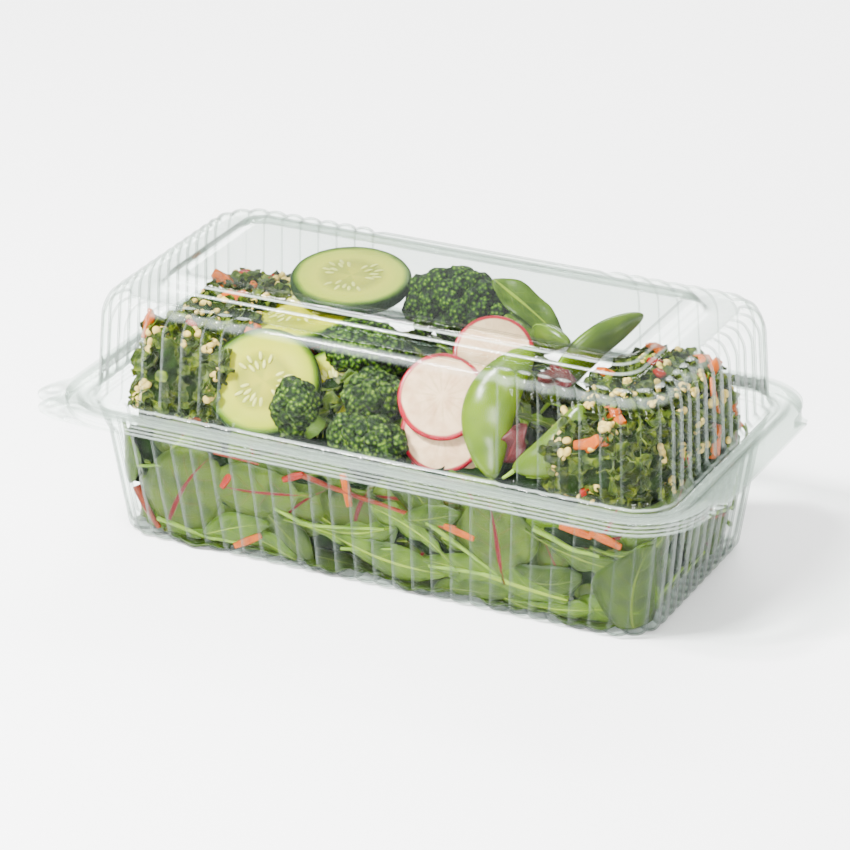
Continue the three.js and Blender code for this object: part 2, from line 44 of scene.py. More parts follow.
# The box: outer size of its flange, corner radii and the thickness of the sheet
BOX_HALF_X = 111
BOX_HALF_Y = 60.7
FLANGE_CORNER = 23
WALL_CORNER = 12
SHEET = 0.5
FLUTE_DEPTH = 1.4
PLAIN_LIFT = 0.55
FLUTE_PLACES = (0, 0.05, 0.13, 0.28, 0.5, 0.72, 0.87, 0.95)
PLAIN_STEPS = 24

# A section runs from the middle out: inset, height, flute depth, reach of the bend's curve, and the radius of
# the corners where it isn't the wall's own
TRAY_SECTION = [
    (32, 1.3, 0, 0.2),
    (27, 1.3, 0, 0.2),
    (26, 1.3, 0, 0.6),
    (24.4, 0.3, 0, 0.6),
    (20.2, 0.95, 0.7, 0.8),
    (18.4, 1.9, FLUTE_DEPTH, 1.2),
    (14.2, 37.6, FLUTE_DEPTH, 1),
    (12.5, 39.2, 0, 1),
    (10.8, 46.6, 0, 1.2),
    (8.6, 46.7, 0, 0.3),
    (8, 47.2, 0, 0.3),
    (7.4, 46.75, 0, 0.3),
    (5.8, 46.85, 0, 0.8),
    (3.8, 48.2, 0, 0.8),
    (1.2, 48.2, 0, 0.6),
]
TRAY_FLUTES = {"long": [(0, 1, 24)], "corner": [(0, 1, 3)], "short": [(0, 1, 10)]}
LID_SECTION = [
    (40, 87.2, 0, 0.1, 3),
    (36.4, 87.2, 0, 0.3, 4),
    (35.4, 87.2, 0, 0.3, 4),
    (34.4, 87.9, 0, 0.5, 5),
    (30.6, 87.9, 0, 1.2, 7),
    (27.4, 83.1, 0, 1.2, 9),
    (19.4, 82.9, 0, 0.2),
    (18.9, 82.85, 0.8, 0.2),
    (17.8, 82.6, 1.3, 0.6),
    (15.6, 81.2, 1.6, 2),
    (13.6, 76.4, 1.5, 2),
    (12.1, 50.4, FLUTE_DEPTH, 0.8),
    (9.6, 47.8, 0, 1),
    (6.1, 47.8, 0, 0.8),
    (4.1, 49.15, 0, 0.8),
]
LID_FLUTES = {"long": [(0, 0.24, 6), (0.76, 1, 6)], "corner": [(0, 1, 3)], "short": [(0, 1, 11)]}
BEND_STEPS = 3

# The free edges: the lid's flange ends flat, the tray's turns down into a skirt with a small lip
LID_EDGE = {"inset": 0.1, "z": 49.15}
TRAY_EDGE = {"inset": 0.45, "z": 48.2}
SKIRT = {"inset": 0.8, "z": 44.4, "lip": 0.2}
LEAF_TIP_X = 115.5
TAB_TIP = 6.1
# The finger tab's outline as two curves, each by its ends and two points that pull it, from the box's corner
TAB_SIDE = ((0, 22), (-TAB_TIP, 14), (-TAB_TIP, 6), (1, 2.6))
TAB_FRONT = ((1, 2.6), (7, -0.6), (15, 0), (23, 0.1))
RIDGE_PLACES = (0.32, 0.52, 0.72)
RIDGE_HEIGHT = 0.55
# Stretches of the walk round the box that have the hinge and the tab, counted from the front's
HINGE_STRETCH = 2
TAB_STRETCH = 7
EDGE_STEPS = 12
SKIRT_STEPS = 5

# The food, as the frame has it: round slices, crowns and pods, in mm
Slice = namedtuple("Slice", "at facing radius thickness")
Floret = namedtuple("Floret", "at half stem clusters")
Pod = namedtuple("Pod", "start end width thick bulge")
CUCUMBERS = [
    Slice((-39.5, 21, 74), (0.05, -0.13, 0.99), 20, 4.4),
    Slice((-51, 7, 65.2), (-0.05, -0.15, 0.985), 20, 4.4),
    Slice((-46, -28, 55.6), (0.2, -0.7, 0.68), 18.6, 4.4),
    Slice((-27, -15, 51.5), (0.2, -0.7, 0.68), 14, 4),
]
RADISHES = [
    Slice((24, -5, 69.8), (0.3, -0.7, 0.65), 13, 2.2),
    Slice((14, -22, 60), (0.3, -0.75, 0.6), 14.2, 2.2),
    Slice((16, -25.6, 49.6), (0.3, -0.75, 0.6), 13.4, 2.2),
    Slice((20, -27.8, 39.8), (0.3, -0.75, 0.6), 12.8, 2.2),
]
FLORETS = [
    Floret((0, 24, 70.5), (24, 15.5, 14.5), (0.1, -0.2, -1), 74),
    Floret((-22, -3, 62), (17, 13, 12), (0.2, 0.3, -1), 46),
    Floret((-31, -35.5, 53), (9.5, 8, 11.5), (0.5, 0.4, -0.8), 26),
    Floret((-10, -21, 54), (12.5, 11, 11), (0.2, 0.6, -0.8), 34),
    Floret((-6, -35, 47), (16, 8.6, 9), (0.3, 0.5, -0.7), 36),
]
PODS = [
    Pod((35, -38.5, 43.6), (37.5, -14, 80), 17, 8.6, (-1, -0.3, 0)),
    Pod((38, 3, 54), (61, 24, 81), 15, 8, (0.4, 0, 1)),
    Pod((48, -38, 46), (66, -26, 67), 13.5, 8, (1, 0, -0.6)),
    Pod((30, 15, 66), (45.5, 1, 77.5), 11, 7, (0, -0.6, 1)),
]
POD_BEND = 0.16
LEAF_THICKNESS = 0.35
STEM_END_RADIUS = 5
STEM_REACH = 1.35


# Modelling helpers

def start_modelling():
    """Object mode, with nothing selected."""
    if bpy.context.mode != "OBJECT":
        bpy.ops.object.mode_set(mode="OBJECT")
    bpy.ops.object.select_all(action="DESELECT")


def primitive(add, **settings):
    """A new primitive by the operator that adds it, with nothing else selected."""
    start_modelling()
    add(**settings)
    return bpy.context.object


def work_on(piece):
    start_modelling()
    piece.select_set(True)
    bpy.context.view_layer.objects.active = piece


def new_thing(name, data):
    """A mesh, curve, light or camera as an object in the scene."""
    thing = bpy.data.objects.new(name, data)
    bpy.context.scene.collection.objects.link(thing)
    return thing


def with_modifier(piece, kind, **settings):
    """Adds a modifier and applies it."""
    work_on(piece)
    modifier = piece.modifiers.new(kind.title(), kind)
    for key, value in settings.items():
        setattr(modifier, key, value)
    bpy.ops.object.modifier_apply(modifier=modifier.name)


def lumps(kind, size):
    """A texture that a Displace modifier reads, with features of the given size in mm."""
    texture = bpy.data.textures.new("lumps", kind)
    texture.noise_scale = size * MM
    return texture


def facing_out(piece):
    work_on(piece)
    bpy.ops.object.mode_set(mode="EDIT")
    bpy.ops.mesh.select_all(action="SELECT")
    bpy.ops.mesh.remove_doubles(threshold=0.01 * MM)
    bpy.ops.mesh.normals_make_consistent(inside=False)
    bpy.ops.object.mode_set(mode="OBJECT")


def settle(piece, name, finish, nodes=(), body="tray", sharp=None):
    """Names a finished piece, gives it its finish and ties it to the frame."""
    work_on(piece)
    bpy.ops.object.transform_apply()
    if sharp:
        bpy.ops.object.shade_smooth_by_angle(angle=math.radians(sharp))
    else:
        bpy.ops.object.shade_smooth()
    piece.name = name
    piece.data.name = name
    piece.data.materials.clear()
    piece.data.materials.append(finish)
    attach(piece, body)
    if nodes:
        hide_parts(*nodes)
    return piece


def drawn_rings(rings, close_first=False, close_last=False):
    """A sheet drawn out of a circle, ring after ring. Every ring has one point for each of its corners."""
    add = bpy.ops.mesh.primitive_circle_add
    piece = primitive(add, vertices=len(rings[0]), radius=1, calc_uvs=False, enter_editmode=True)
    form = bmesh.from_edit_mesh(piece.data)
    corner = form.verts.layers.int.new("corner")
    for number, vertex in enumerate(form.verts):
        vertex[corner] = number
    for number, ring in enumerate(rings):
        if number:
            bpy.ops.mesh.extrude_region_move()
            form = bmesh.from_edit_mesh(piece.data)
            corner = form.verts.layers.int["corner"]
        for vertex in form.verts:
            if vertex.select:
                vertex.co = Vector(ring[vertex[corner]]) * MM
        bmesh.update_edit_mesh(piece.data)
    if close_last:
        bpy.ops.mesh.edge_face_add()
    if close_first:
        first = {tuple(round(value * MM, 7) for value in point) for point in rings[0]}
        bpy.ops.mesh.select_all(action="DESELECT")
        form = bmesh.from_edit_mesh(piece.data)
        for vertex in form.verts:
            vertex.select = tuple(round(value, 7) for value in vertex.co) in first
        form.select_flush(True)
        bmesh.update_edit_mesh(piece.data)
        bpy.ops.mesh.edge_face_add()
    bpy.ops.mesh.select_all(action="SELECT")
    bpy.ops.mesh.normals_make_consistent(inside=False)
    bpy.ops.object.mode_set(mode="OBJECT")
    return piece


def as_pattern(piece):
    """The corners, faces and UV of a modelled piece, to be copied many times. The piece itself goes."""
    mesh = piece.data
    corners = np.empty(len(mesh.vertices) * 3)
    mesh.vertices.foreach_get("co", corners)
    faces = [tuple(face.vertices) for face in mesh.polygons]
    uv = [(0.5, 0.5)] * len(mesh.loops)
    if mesh.uv_layers:
        uv = [tuple(loop.uv) for loop in mesh.uv_layers[0].data]
    bpy.data.objects.remove(piece)
    return {"corners": corners.reshape(-1, 3) / MM, "faces": faces, "uv": uv}


def joined_copies(name, copies):
    """One piece out of many copies: each is a pattern, its corners in place, and a tone from 0 to 1."""
    corners, faces, uv, tones = [], [], [], []
    for pattern, placed, tone in copies:
        first = len(tones)
        corners.append(np.asarray(placed) * MM)
        faces.extend(tuple(first + corner for corner in face) for face in pattern["faces"])
        uv.extend(pattern["uv"])
        tones.extend([tone] * len(placed))
    mesh = bpy.data.meshes.new(name)
    mesh.from_pydata(np.concatenate(corners).tolist(), [], faces)
    layer = mesh.uv_layers.new(name="UVMap")
    layer.data.foreach_set("uv", [value for pair in uv for value in pair])
    tone_layer = mesh.attributes.new("tone", "FLOAT", "POINT")
    tone_layer.data.foreach_set("value", tones)
    return new_thing(name, mesh)


def leaf_layer(name, copies, finish, thickness=LEAF_THICKNESS, sharp=None):
    """Many thin leaves as one finished piece."""
    piece = joined_copies(name, copies)
    with_modifier(piece, "SOLIDIFY", thickness=thickness * MM, offset=0)
    return settle(piece, name, finish, sharp=sharp)


def jolt(draw, reach):
    """A small random move or lean."""
    return Vector([draw.gauss(0, reach) for _ in range(3)])


def turned(pattern, matrix):
    """The pattern's corners after a turn and a move."""
    rotation = np.array(matrix.to_3x3())
    return pattern["corners"] @ rotation.T + np.array(matrix.translation)


def stood_on(point, normal, spin, size=(1, 1, 1)):
    """A place on a surface: z of the pattern looks along the normal."""
    base = Matrix.Translation(Vector(point)) @ Vector(normal).to_track_quat("Z", "Y").to_matrix().to_4x4()
    return base @ Matrix.Rotation(spin, 4, "Z") @ Matrix.Diagonal((*size, 1))


def surface_points(piece, count, draw, wanted):
    """Seeded points on a piece's faces, spread by area, with the face's normal, in mm."""
    mesh = piece.data
    mesh.calc_loop_triangles()
    found = []
    faces = [triangle for triangle in mesh.loop_triangles if wanted(triangle.center / MM, triangle.normal)]
    for triangle in draw.choices(faces, weights=[face.area for face in faces], k=count):
        a, b, c = (mesh.vertices[corner].co for corner in triangle.vertices)
        u, v = sorted((draw.random(), draw.random()))
        found.append(((a * u + b * (v - u) + c * (1 - v)) / MM, triangle.normal.copy()))
    return found


# Finishes

# The clear sheet's colour from face on to edge on, and the bands and lines of painted sheen and highlights by
# height in mm
CLEAR_TINTS = [(0.0, (255, 255, 255)), (0.5, (250, 253, 251)), (0.78, (196, 202, 198)), (1.0, (60, 66, 63))]
RIM_SHEEN_BAND = (43.5, 45.5, 49.5, 51)
SHOULDER_HIGHLIGHT_BAND = (79.5, 81.2, 82.2, 82.9)
PAINTED_HIGHLIGHT_LINES = (44.8, 46.1, 47.5, 48.7, 84, 86.4)
# GRAZING_HAZE is the sheet's own haze; the flank, rim, line and shoulder shares below are painted light,
# white laid where reflections, sheen and highlights fall
GRAZING_HAZE = 0.1
PAINTED_FLANK_REFLECTION = 0.3
PAINTED_RIM_SHEEN = 0.008
PAINTED_LINE_HIGHLIGHT = 0.16
LINE_HALF = 0.15
LINE_FADE = 0.4
PAINTED_SHOULDER_HIGHLIGHT = 0.055
GRAZING_SHINE = 0.5
FACE_SHINE = 0.004


def paint(red, green, blue):
    """A colour as the eye sees it, 0 to 255, turned into light."""
    def light(value):
        value /= 255
        return value / 12.92 if value <= 0.04045 else ((value + 0.055) / 1.055) ** 2.4
    return (light(red), light(green), light(blue), 1)


class Finish:
    """A material in the making: its nodes are added one after another."""

    def __init__(self, name, **settings):
        self.material = bpy.data.materials.new(name)
        self.material.use_nodes = True
        self.tree = self.material.node_tree
        self.shader = self.tree.nodes["Principled BSDF"]
        self.output = self.tree.nodes["Material Output"]
        self.place = self.node("ShaderNodeTexCoord").outputs["Object"]
        for socket, value in settings.items():
            self.set(socket.replace("_", " ").title().replace("Ior", "IOR"), value)

    def set(self, socket, value):
        """Sets or links one socket of the shader."""
        if isinstance(value, bpy.types.NodeSocket):
            self.tree.links.new(value, self.shader.inputs[socket])
        else:
            self.shader.inputs[socket].default_value = value

    def node(self, kind, values=None, **settings):
        node = self.tree.nodes.new(kind)
        for key, value in settings.items():
            setattr(node, key, value)
        for socket, value in (values or {}).items():
            if isinstance(value, bpy.types.NodeSocket):
                self.tree.links.new(value, node.inputs[socket])
            else:
                node.inputs[socket].default_value = value
        return node

    def noise(self, size, detail):
        values = {"Vector": self.place, "Scale": 1 / (size * MM), "Detail": detail, "Roughness": 0.55}
        return self.node("ShaderNodeTexNoise", values).outputs["Fac"]

    def cells(self, size):
        values = {"Vector": self.place, "Scale": 1 / (size * MM)}
        return self.node("ShaderNodeTexVoronoi", values).outputs["Distance"]

    def math(self, operation, a, b=0.0):
        return self.node("ShaderNodeMath", {0: a, 1: b}, operation=operation).outputs[0]

    def plus(self, a, b):
        return self.math("ADD", a, b)

    def minus(self, a, b):
        return self.math("SUBTRACT", a, b)

    def times(self, a, b):
        return self.math("MULTIPLY", a, b)

    def absolute(self, value):
        return self.math("ABSOLUTE", value)

    def step(self, value, low, high):
        """0 below low, 1 above high, smooth between; low may be the higher one."""
        values = {"Value": value, "From Min": low, "From Max": high}
        return self.node("ShaderNodeMapRange", values, interpolation_type="SMOOTHSTEP").outputs["Result"]

    def ramp(self, value, stops):
        node = self.node("ShaderNodeValToRGB", {"Fac": value})
        elements = node.color_ramp.elements
        while len(elements) < len(stops):
            elements.new(0.5)
        for element, (position, colour) in zip(elements, stops):
            element.position = position
            element.color = paint(*colour)
        return node.outputs["Color"]

    def mix(self, share, ground, colour):
        """The ground with a share of the colour over it, which is a socket or three numbers."""
        over = colour if isinstance(colour, bpy.types.NodeSocket) else paint(*colour)
        return self.node("ShaderNodeMix", {0: share, 6: ground, 7: over}, data_type="RGBA").outputs[2]

    def attribute(self, name):
        return self.node("ShaderNodeAttribute", attribute_name=name).outputs["Fac"]

    def uv(self):
        """The two UV values, along and across."""
        values = {"Vector": self.node("ShaderNodeUVMap", uv_map="UVMap").outputs["UV"]}
        outputs = self.node("ShaderNodeSeparateXYZ", values).outputs
        return outputs["X"], outputs["Y"]

    def on_slice(self):
        """Place on a round slice from its middle, and the distance from the middle, 1 at the skin."""
        x, y = (self.minus(value, 0.5) for value in self.uv())
        square = self.plus(self.times(x, x), self.times(y, y))
        return x, y, self.times(self.math("SQRT", square), 2.0)

    def done(self, colour, height, depth, strength):
        """The material with its colour, and its surface raised by the height, up to a depth in mm."""
        self.set("Base Color", colour)
        values = {"Height": height, "Distance": depth * MM, "Strength": strength}
        self.set("Normal", self.node("ShaderNodeBump", values).outputs["Normal"])
        return self.material

    def toned(self, colour, low, high):
        """The colour made darker or brighter by each copy's own tone."""
        value = self.plus(self.times(self.attribute("tone"), high - low), low)
        return self.node("ShaderNodeHueSaturation", {"Value": value, "Color": colour}).outputs["Color"]


def clear_plastic_finish():
    """Thin clear sheet: greyer and glossier where it turns away and a little hazy at grazing angles, with
    painted reflection on its flanks and painted highlights in bands and lines.
    """
    finish = Finish("clear_plastic", roughness=0.35)
    finish.set("Base Color", paint(222, 236, 226))
    away = finish.node("ShaderNodeLayerWeight", {"Blend": 0.5}).outputs["Facing"]
    tint = finish.ramp(away, CLEAR_TINTS)
    see_through = finish.node("ShaderNodeBsdfTransparent", {"Color": tint}).outputs["BSDF"]
    height = finish.node("ShaderNodeSeparateXYZ", {"Vector": finish.place}).outputs["Z"]

    def band(low, low_full, high_full, high):
        """1 between two heights, fading to 0 below and above."""
        above = finish.step(height, low * MM, low_full * MM)
        return finish.times(above, finish.step(height, high * MM, high_full * MM))

    normal = finish.node("ShaderNodeTexCoord").outputs["Normal"]
    slope = finish.absolute(finish.node("ShaderNodeSeparateXYZ", {"Vector": normal}).outputs["Z"])
    grazing = finish.math("POWER", away, 7.0)
    upright = finish.step(slope, 0.6, 0.2)
    # Painted reflection: upright flanks that turn away are whitened where the walls would mirror the bright
    # floor
    flank_reflection = finish.times(finish.math("POWER", away, 4.0), finish.times(upright, PAINTED_FLANK_REFLECTION))
    haze_and_painted_highlights = finish.plus(finish.times(grazing, GRAZING_HAZE), flank_reflection)
    # Painted sheen: a faint white band over the flanges
    haze_and_painted_highlights = finish.plus(haze_and_painted_highlights, finish.times(band(*RIM_SHEEN_BAND), PAINTED_RIM_SHEEN))
    # Painted highlights: thin white lines at set heights, on the flanges and round the lid's raised panel
    for level in PAINTED_HIGHLIGHT_LINES:
        off = finish.absolute(finish.minus(height, level * MM))
        haze_and_painted_highlights = finish.plus(haze_and_painted_highlights, finish.times(finish.step(off, LINE_FADE * MM, LINE_HALF * MM), PAINTED_LINE_HIGHLIGHT))
    # Painted highlight: a white band round the lid's shoulder
    haze_and_painted_highlights = finish.plus(haze_and_painted_highlights, finish.times(band(*SHOULDER_HIGHLIGHT_BAND), PAINTED_SHOULDER_HIGHLIGHT))
    veil_and_painted_highlights = finish.node("ShaderNodeMixShader", {0: haze_and_painted_highlights, 1: see_through, 2: finish.shader.outputs["BSDF"]})
    mirror = finish.node("ShaderNodeBsdfGlossy", {"Roughness": 0.05, "Color": (1, 1, 1, 1)}).outputs["BSDF"]
    shine = finish.plus(finish.times(grazing, GRAZING_SHINE), FACE_SHINE)
    glossy = finish.node("ShaderNodeMixShader", {0: shine, 1: veil_and_painted_highlights.outputs[0], 2: mirror})
    finish.tree.links.new(glossy.outputs[0], finish.output.inputs["Surface"])
    return finish.material


def leaf_finish(name, dark, bright, rib, rib_width, vein_strength):
    """A leaf with a midrib and side veins that follow its UV, u from stalk to tip and v across."""
    finish = Finish(name, roughness=0.4, specular_ior_level=0.14)
    along, across = finish.uv()
    off_rib = finish.times(finish.absolute(finish.minus(across, 0.5)), 2.0)
    mottle = finish.noise(5, 5)
    ground = finish.ramp(mottle, [(0.3, dark), (0.62, bright)])
    fine = finish.step(finish.noise(0.8, 3), 0.35, 0.75)
    ground = finish.mix(finish.times(fine, 0.3), ground, bright)
    slant = finish.minus(finish.times(along, 6.5), finish.times(off_rib, 1.5))
    wave = finish.absolute(finish.minus(finish.math("FRACT", slant), 0.5))
    side = finish.times(finish.step(wave, 0.07, 0.0), finish.step(off_rib, 0.95, 0.3))
    width = finish.times(finish.minus(1.15, along), rib_width)
    middle = finish.step(finish.math("DIVIDE", off_rib, width), 1.0, 0.55)
    veins = finish.math("MAXIMUM", finish.times(side, vein_strength), middle)
    coloured = finish.mix(veins, ground, rib)
    relief = finish.minus(finish.noise(1.2, 3), veins)
    return finish.done(finish.toned(coloured, 0.55, 1.3), relief, 0.25, 0.6)


def speckled_finish(name, colours, size, rough, low, high):
    """Small pieces of one vegetable, unevenly coloured."""
    finish = Finish(name, roughness=rough, specular_ior_level=0.14)
    places = np.linspace(0.3, 0.7, len(colours))
    ground = finish.ramp(finish.noise(size, 4), list(zip(places, colours)))
    return finish.done(finish.toned(ground, low, high), finish.noise(size / 3, 3), 0.15, 0.7)


def core_finish(name, dark, bright):
    """Painted shade for the inside of a heap: near-black greens that show only between the pieces on it."""
    finish = Finish(name, roughness=0.7, specular_ior_level=0)
    colour = finish.ramp(finish.noise(4, 5), [(0.35, dark), (0.7, bright)])
    return finish.done(colour, finish.noise(1.5, 4), 0.5, 0.8)


def broccoli_finish(name, tip, bud, painted_gap_shade):
    """Tight buds: pale tips as painted highlight, green buds, and dark gaps between them as painted shade."""
    finish = Finish(name, roughness=0.6, specular_ior_level=0.08)
    cells = finish.cells(1.5)
    ground = finish.ramp(cells, [(0.08, tip), (0.3, bud), (0.62, painted_gap_shade)])
    # Darker patches at random, in the painted gap shade
    patch = finish.step(finish.noise(9, 3), 0.4, 0.65)
    ground = finish.mix(finish.times(patch, 0.35), ground, painted_gap_shade)
    # Each copy's tone makes the clusters that face up brighter: painted light
    return finish.done(finish.toned(ground, 0.75, 1.3), finish.minus(1.0, cells), 0.7, 0.9)


def cucumber_finish():
    """A slice: dark skin, pale flesh that turns glassy round the seed lobes."""
    finish = Finish("cucumber", roughness=0.4, specular_ior_level=0.08)
    x, y, radius = finish.on_slice()
    rough_radius = finish.plus(radius, finish.times(finish.noise(5, 3), 0.06))
    flesh = finish.ramp(rough_radius, [
        (0.1, (150, 146, 10)), (0.45, (122, 124, 2)), (0.62, (156, 156, 12)),
        (0.86, (142, 150, 6)), (0.93, (72, 98, 2)), (1.0, (12, 28, 4)),
    ])
    angle = finish.math("ARCTAN2", y, x)
    lobes = finish.math("SINE", finish.times(angle, 3.0))
    glassy = finish.times(finish.step(lobes, -0.3, 0.7), finish.step(radius, 0.62, 0.45))
    flesh = finish.mix(finish.times(glassy, 0.45), flesh, (106, 116, 8))
    skin = finish.ramp(finish.noise(2, 4), [(0.35, (12, 30, 8)), (0.7, (26, 50, 16))])
    colour = finish.mix(finish.step(radius, 0.965, 0.985), flesh, skin)
    return finish.done(colour, finish.noise(1.5, 3), 0.15, 0.5)


def radish_finish():
    """A slice: crimson skin round pale flesh with a faint star of veins."""
    finish = Finish("radish", roughness=0.3, specular_ior_level=0.2)
    x, y, radius = finish.on_slice()
    spokes = finish.math("SINE", finish.times(finish.math("ARCTAN2", y, x), 14.0))
    star = finish.times(finish.step(spokes, 0.2, 1.0), finish.step(radius, 0.85, 0.3))
    flesh = finish.ramp(finish.noise(4, 4), [(0.3, (182, 146, 112)), (0.7, (212, 182, 146))])
    flesh = finish.mix(finish.times(star, 0.25), flesh, (140, 122, 70))
    skin = finish.ramp(finish.noise(3, 3), [(0.35, (122, 4, 22)), (0.7, (156, 16, 38))])
    edge = finish.plus(radius, finish.times(finish.noise(6, 2), 0.05))
    return finish.done(finish.mix(finish.step(edge, 0.89, 0.94), flesh, skin), finish.noise(1.2, 3), 0.1, 0.4)


def pod_finish():
    """Smooth bright pods, a little uneven in their green."""
    finish = Finish("pea_pod", roughness=0.26, specular_ior_level=0.3)
    ground = finish.ramp(finish.noise(7, 4), [(0.3, (58, 80, 0)), (0.7, (82, 104, 2))])
    return finish.done(finish.toned(ground, 0.85, 1.1), finish.noise(1.6, 3), 0.12, 0.5)


# Colours of the leaves: ground from dark to bright, midrib; then the midrib's width and the veins' strength
LEAF_FINISHES = {
    "chard": ((32, 52, 2), (68, 88, 8), (96, 6, 14), 0.1, 0.35),
    "spinach": ((26, 46, 2), (58, 80, 6), (98, 116, 22), 0.06, 0.5),
    "rocket": ((32, 54, 2), (70, 94, 6), (120, 140, 26), 0.15, 0.35),
    "red_leaf": ((47, 10, 15), (72, 23, 22), (90, 30, 32), 0.1, 0.5),
}
# Colours of small pieces, size of their specks in mm, roughness, and how dark and bright single pieces are
SPECKLED_FINISHES = {
    "kale": ([(12, 24, 2), (40, 54, 4), (88, 98, 10)], 2.4, 0.5, 0.45, 1.6),
    "grain": ([(156, 130, 52), (204, 178, 96)], 2, 0.4, 0.85, 1.15),
    "carrot": ([(134, 52, 0), (166, 78, 0)], 2, 0.35, 0.85, 1.15),
    "pepper": ([(112, 10, 0), (140, 28, 2)], 3, 0.25, 0.8, 1.2),
    "seed": ([(160, 160, 72), (186, 184, 96)], 2, 0.3, 0.9, 1.1),
    "pale_stalk": ([(78, 108, 24), (122, 148, 46)], 6, 0.4, 1, 1),
    "red_stalk": ([(84, 16, 8), (128, 52, 20)], 6, 0.4, 1, 1),
    "broccoli_stem": ([(64, 92, 28), (96, 126, 44)], 5, 0.5, 1, 1),
}
# Painted shade: near-black colours, from dark to bright, for the hidden inside of each heap
CORE_FINISHES = {
    "dark_greens": ((6, 15, 4), (19, 35, 11)),
    "dark_salad": ((7, 15, 4), (29, 45, 15)),
}
# Colours of the buds' tips (painted highlight), the buds, and the gaps between them (painted shade)
BROCCOLI_FINISHES = {
    "broccoli_dark": ((106, 136, 30), (48, 78, 12), (8, 18, 4)),
    "broccoli_light": ((112, 136, 34), (48, 74, 16), (8, 20, 4)),
}


def food_finishes():
    finishes = {"cucumber": cucumber_finish(), "radish": radish_finish(), "pea_pod": pod_finish()}
    for make, table in (
        (leaf_finish, LEAF_FINISHES), (speckled_finish, SPECKLED_FINISHES),
        (core_finish, CORE_FINISHES), (broccoli_finish, BROCCOLI_FINISHES),
    ):
        for name, values in table.items():
            finishes[name] = make(name, *values)
    return finishes


# The clear box

def ring_point(size, stretch, share, reach):
    """A point on a rounded rectangle, walked as front, corner, right, corner, back, corner, left, corner."""
    half_x, half_y, radius = size
    side = stretch // 2

    def centre(number):
        number = (number + 4) % 4
        sign_x = 1 if number < 2 else -1
        sign_y = -1 if number in (0, 3) else 1
        return Vector((sign_x * (half_x - radius), sign_y * (half_y - radius)))

    on_corner = stretch % 2 == 1
    angle = math.pi / 2 * (side - 1 + (share if on_corner else 0))
    middle = centre(side) if on_corner else centre(side - 1).lerp(centre(side), share)
    return middle + (radius + reach) * Vector((math.cos(angle), math.sin(angle)))


def ring_size(inset, corner):
    return BOX_HALF_X - inset, BOX_HALF_Y - inset, corner


def fluted_stations(flutes):
    """Each station is a stretch of the walk, a share of its length and its lift towards a flute's crest."""
    stations = []
    for stretch in range(8):
        kind = "corner" if stretch % 2 else ("long", "short")[stretch // 2 % 2]
        reached = 0
        for start, end, count in flutes[kind] + [(1, 1, 0)]:
            if start > reached:
                for i in range(PLAIN_STEPS):
                    share = reached + (start - reached) * i / PLAIN_STEPS
                    stations.append((stretch, share, PLAIN_LIFT if i else 0))
            for i in range(count):
                for place in FLUTE_PLACES:
                    share = start + (end - start) * (i + place) / count
                    stations.append((stretch, share, math.sin(math.pi * place) ** 0.5))
            reached = end
    return stations


def section_point(inset, height, depth, reach, corner=None):
    return np.array((inset, height, depth, reach, corner or max(FLANGE_CORNER - inset, WALL_CORNER)), float)


def eased(section):
    """The section with a short curve at each bend."""
    points = [section_point(*place) for place in section]
    path = [points[0]]
    for before, bend, after in zip(points, points[1:], points[2:]):
        ends = []
        for other in (before, after):
            length = math.hypot(*(other - bend)[:2])
            ends.append(bend + (other - bend) * min(0.45, bend[3] / length))
        for i in range(BEND_STEPS + 1):
            t = i / BEND_STEPS
            first = ends[0] + (bend - ends[0]) * t
            second = bend + (ends[1] - bend) * t
            path.append(first + (second - first) * t)
    path.append(points[-1])
    return [point.tolist() for point in path]


def wall_rings(section, stations, outside):
    """The rings of a section; flutes stand up along its normal, on the side that outside gives."""
    path = eased(section)
    rings = []
    for i, (inset, z, depth, _, corner) in enumerate(path):
        before, after = path[max(i - 1, 0)], path[min(i + 1, len(path) - 1)]
        run = Vector((before[0] - after[0], after[1] - before[1])).normalized()
        out, up = outside * run.y, -outside * run.x
        ring = []
        for stretch, share, lift in stations:
            point = ring_point(ring_size(inset, corner), stretch, share, out * depth * lift)
            ring.append((*point, z + up * depth * lift))
        rings.append(ring)
    return rings


def smooth(value):
    value = min(max(value, 0), 1)
    return value * value * (3 - 2 * value)


def tab_outline(points, t):
    a, b, c, d = (Vector((x - BOX_HALF_X, y - BOX_HALF_Y)) for x, y in points)
    return a * (1 - t) ** 3 + b * 3 * t * (1 - t) ** 2 + c * 3 * t * t * (1 - t) + d * t ** 3


def outer_edge(stretch, share, edge_inset):
    """The plan of the free edge: the flange, the finger tab at one corner, the hinge leaf at the right."""
    plain = ring_point(ring_size(edge_inset, FLANGE_CORNER), stretch, share, 0)
    if stretch == HINGE_STRETCH:
        plain.x += (LEAF_TIP_X - plain.x) * smooth(min(share, 1 - share) / 0.05)
    if stretch == TAB_STRETCH:
        if share < 0.5:
            return tab_outline(TAB_SIDE, share * 2)
        return tab_outline(TAB_FRONT, share * 2 - 1)
    return plain


def tab_ridge(stretch, share, outward):
    """Three oblong ridges across the tab, for grip."""
    if stretch != TAB_STRETCH:
        return 0
    height = 0
    for middle in RIDGE_PLACES:
        away = math.hypot((share - middle) / 0.07, (outward - 0.6) / 0.3)
        height += RIDGE_HEIGHT * math.exp(-((away - 1) / 0.4) ** 2)
    return height


def sheet_piece(body, rings, finish):
    """One half of the box in its sheet, drawn from the free edge to the middle."""
    piece = drawn_rings(rings[::-1], close_last=True)
    with_modifier(piece, "SOLIDIFY", thickness=SHEET * MM, offset=0)
    settle(piece, f"clear_{body}", finish, [body], body, sharp=50)


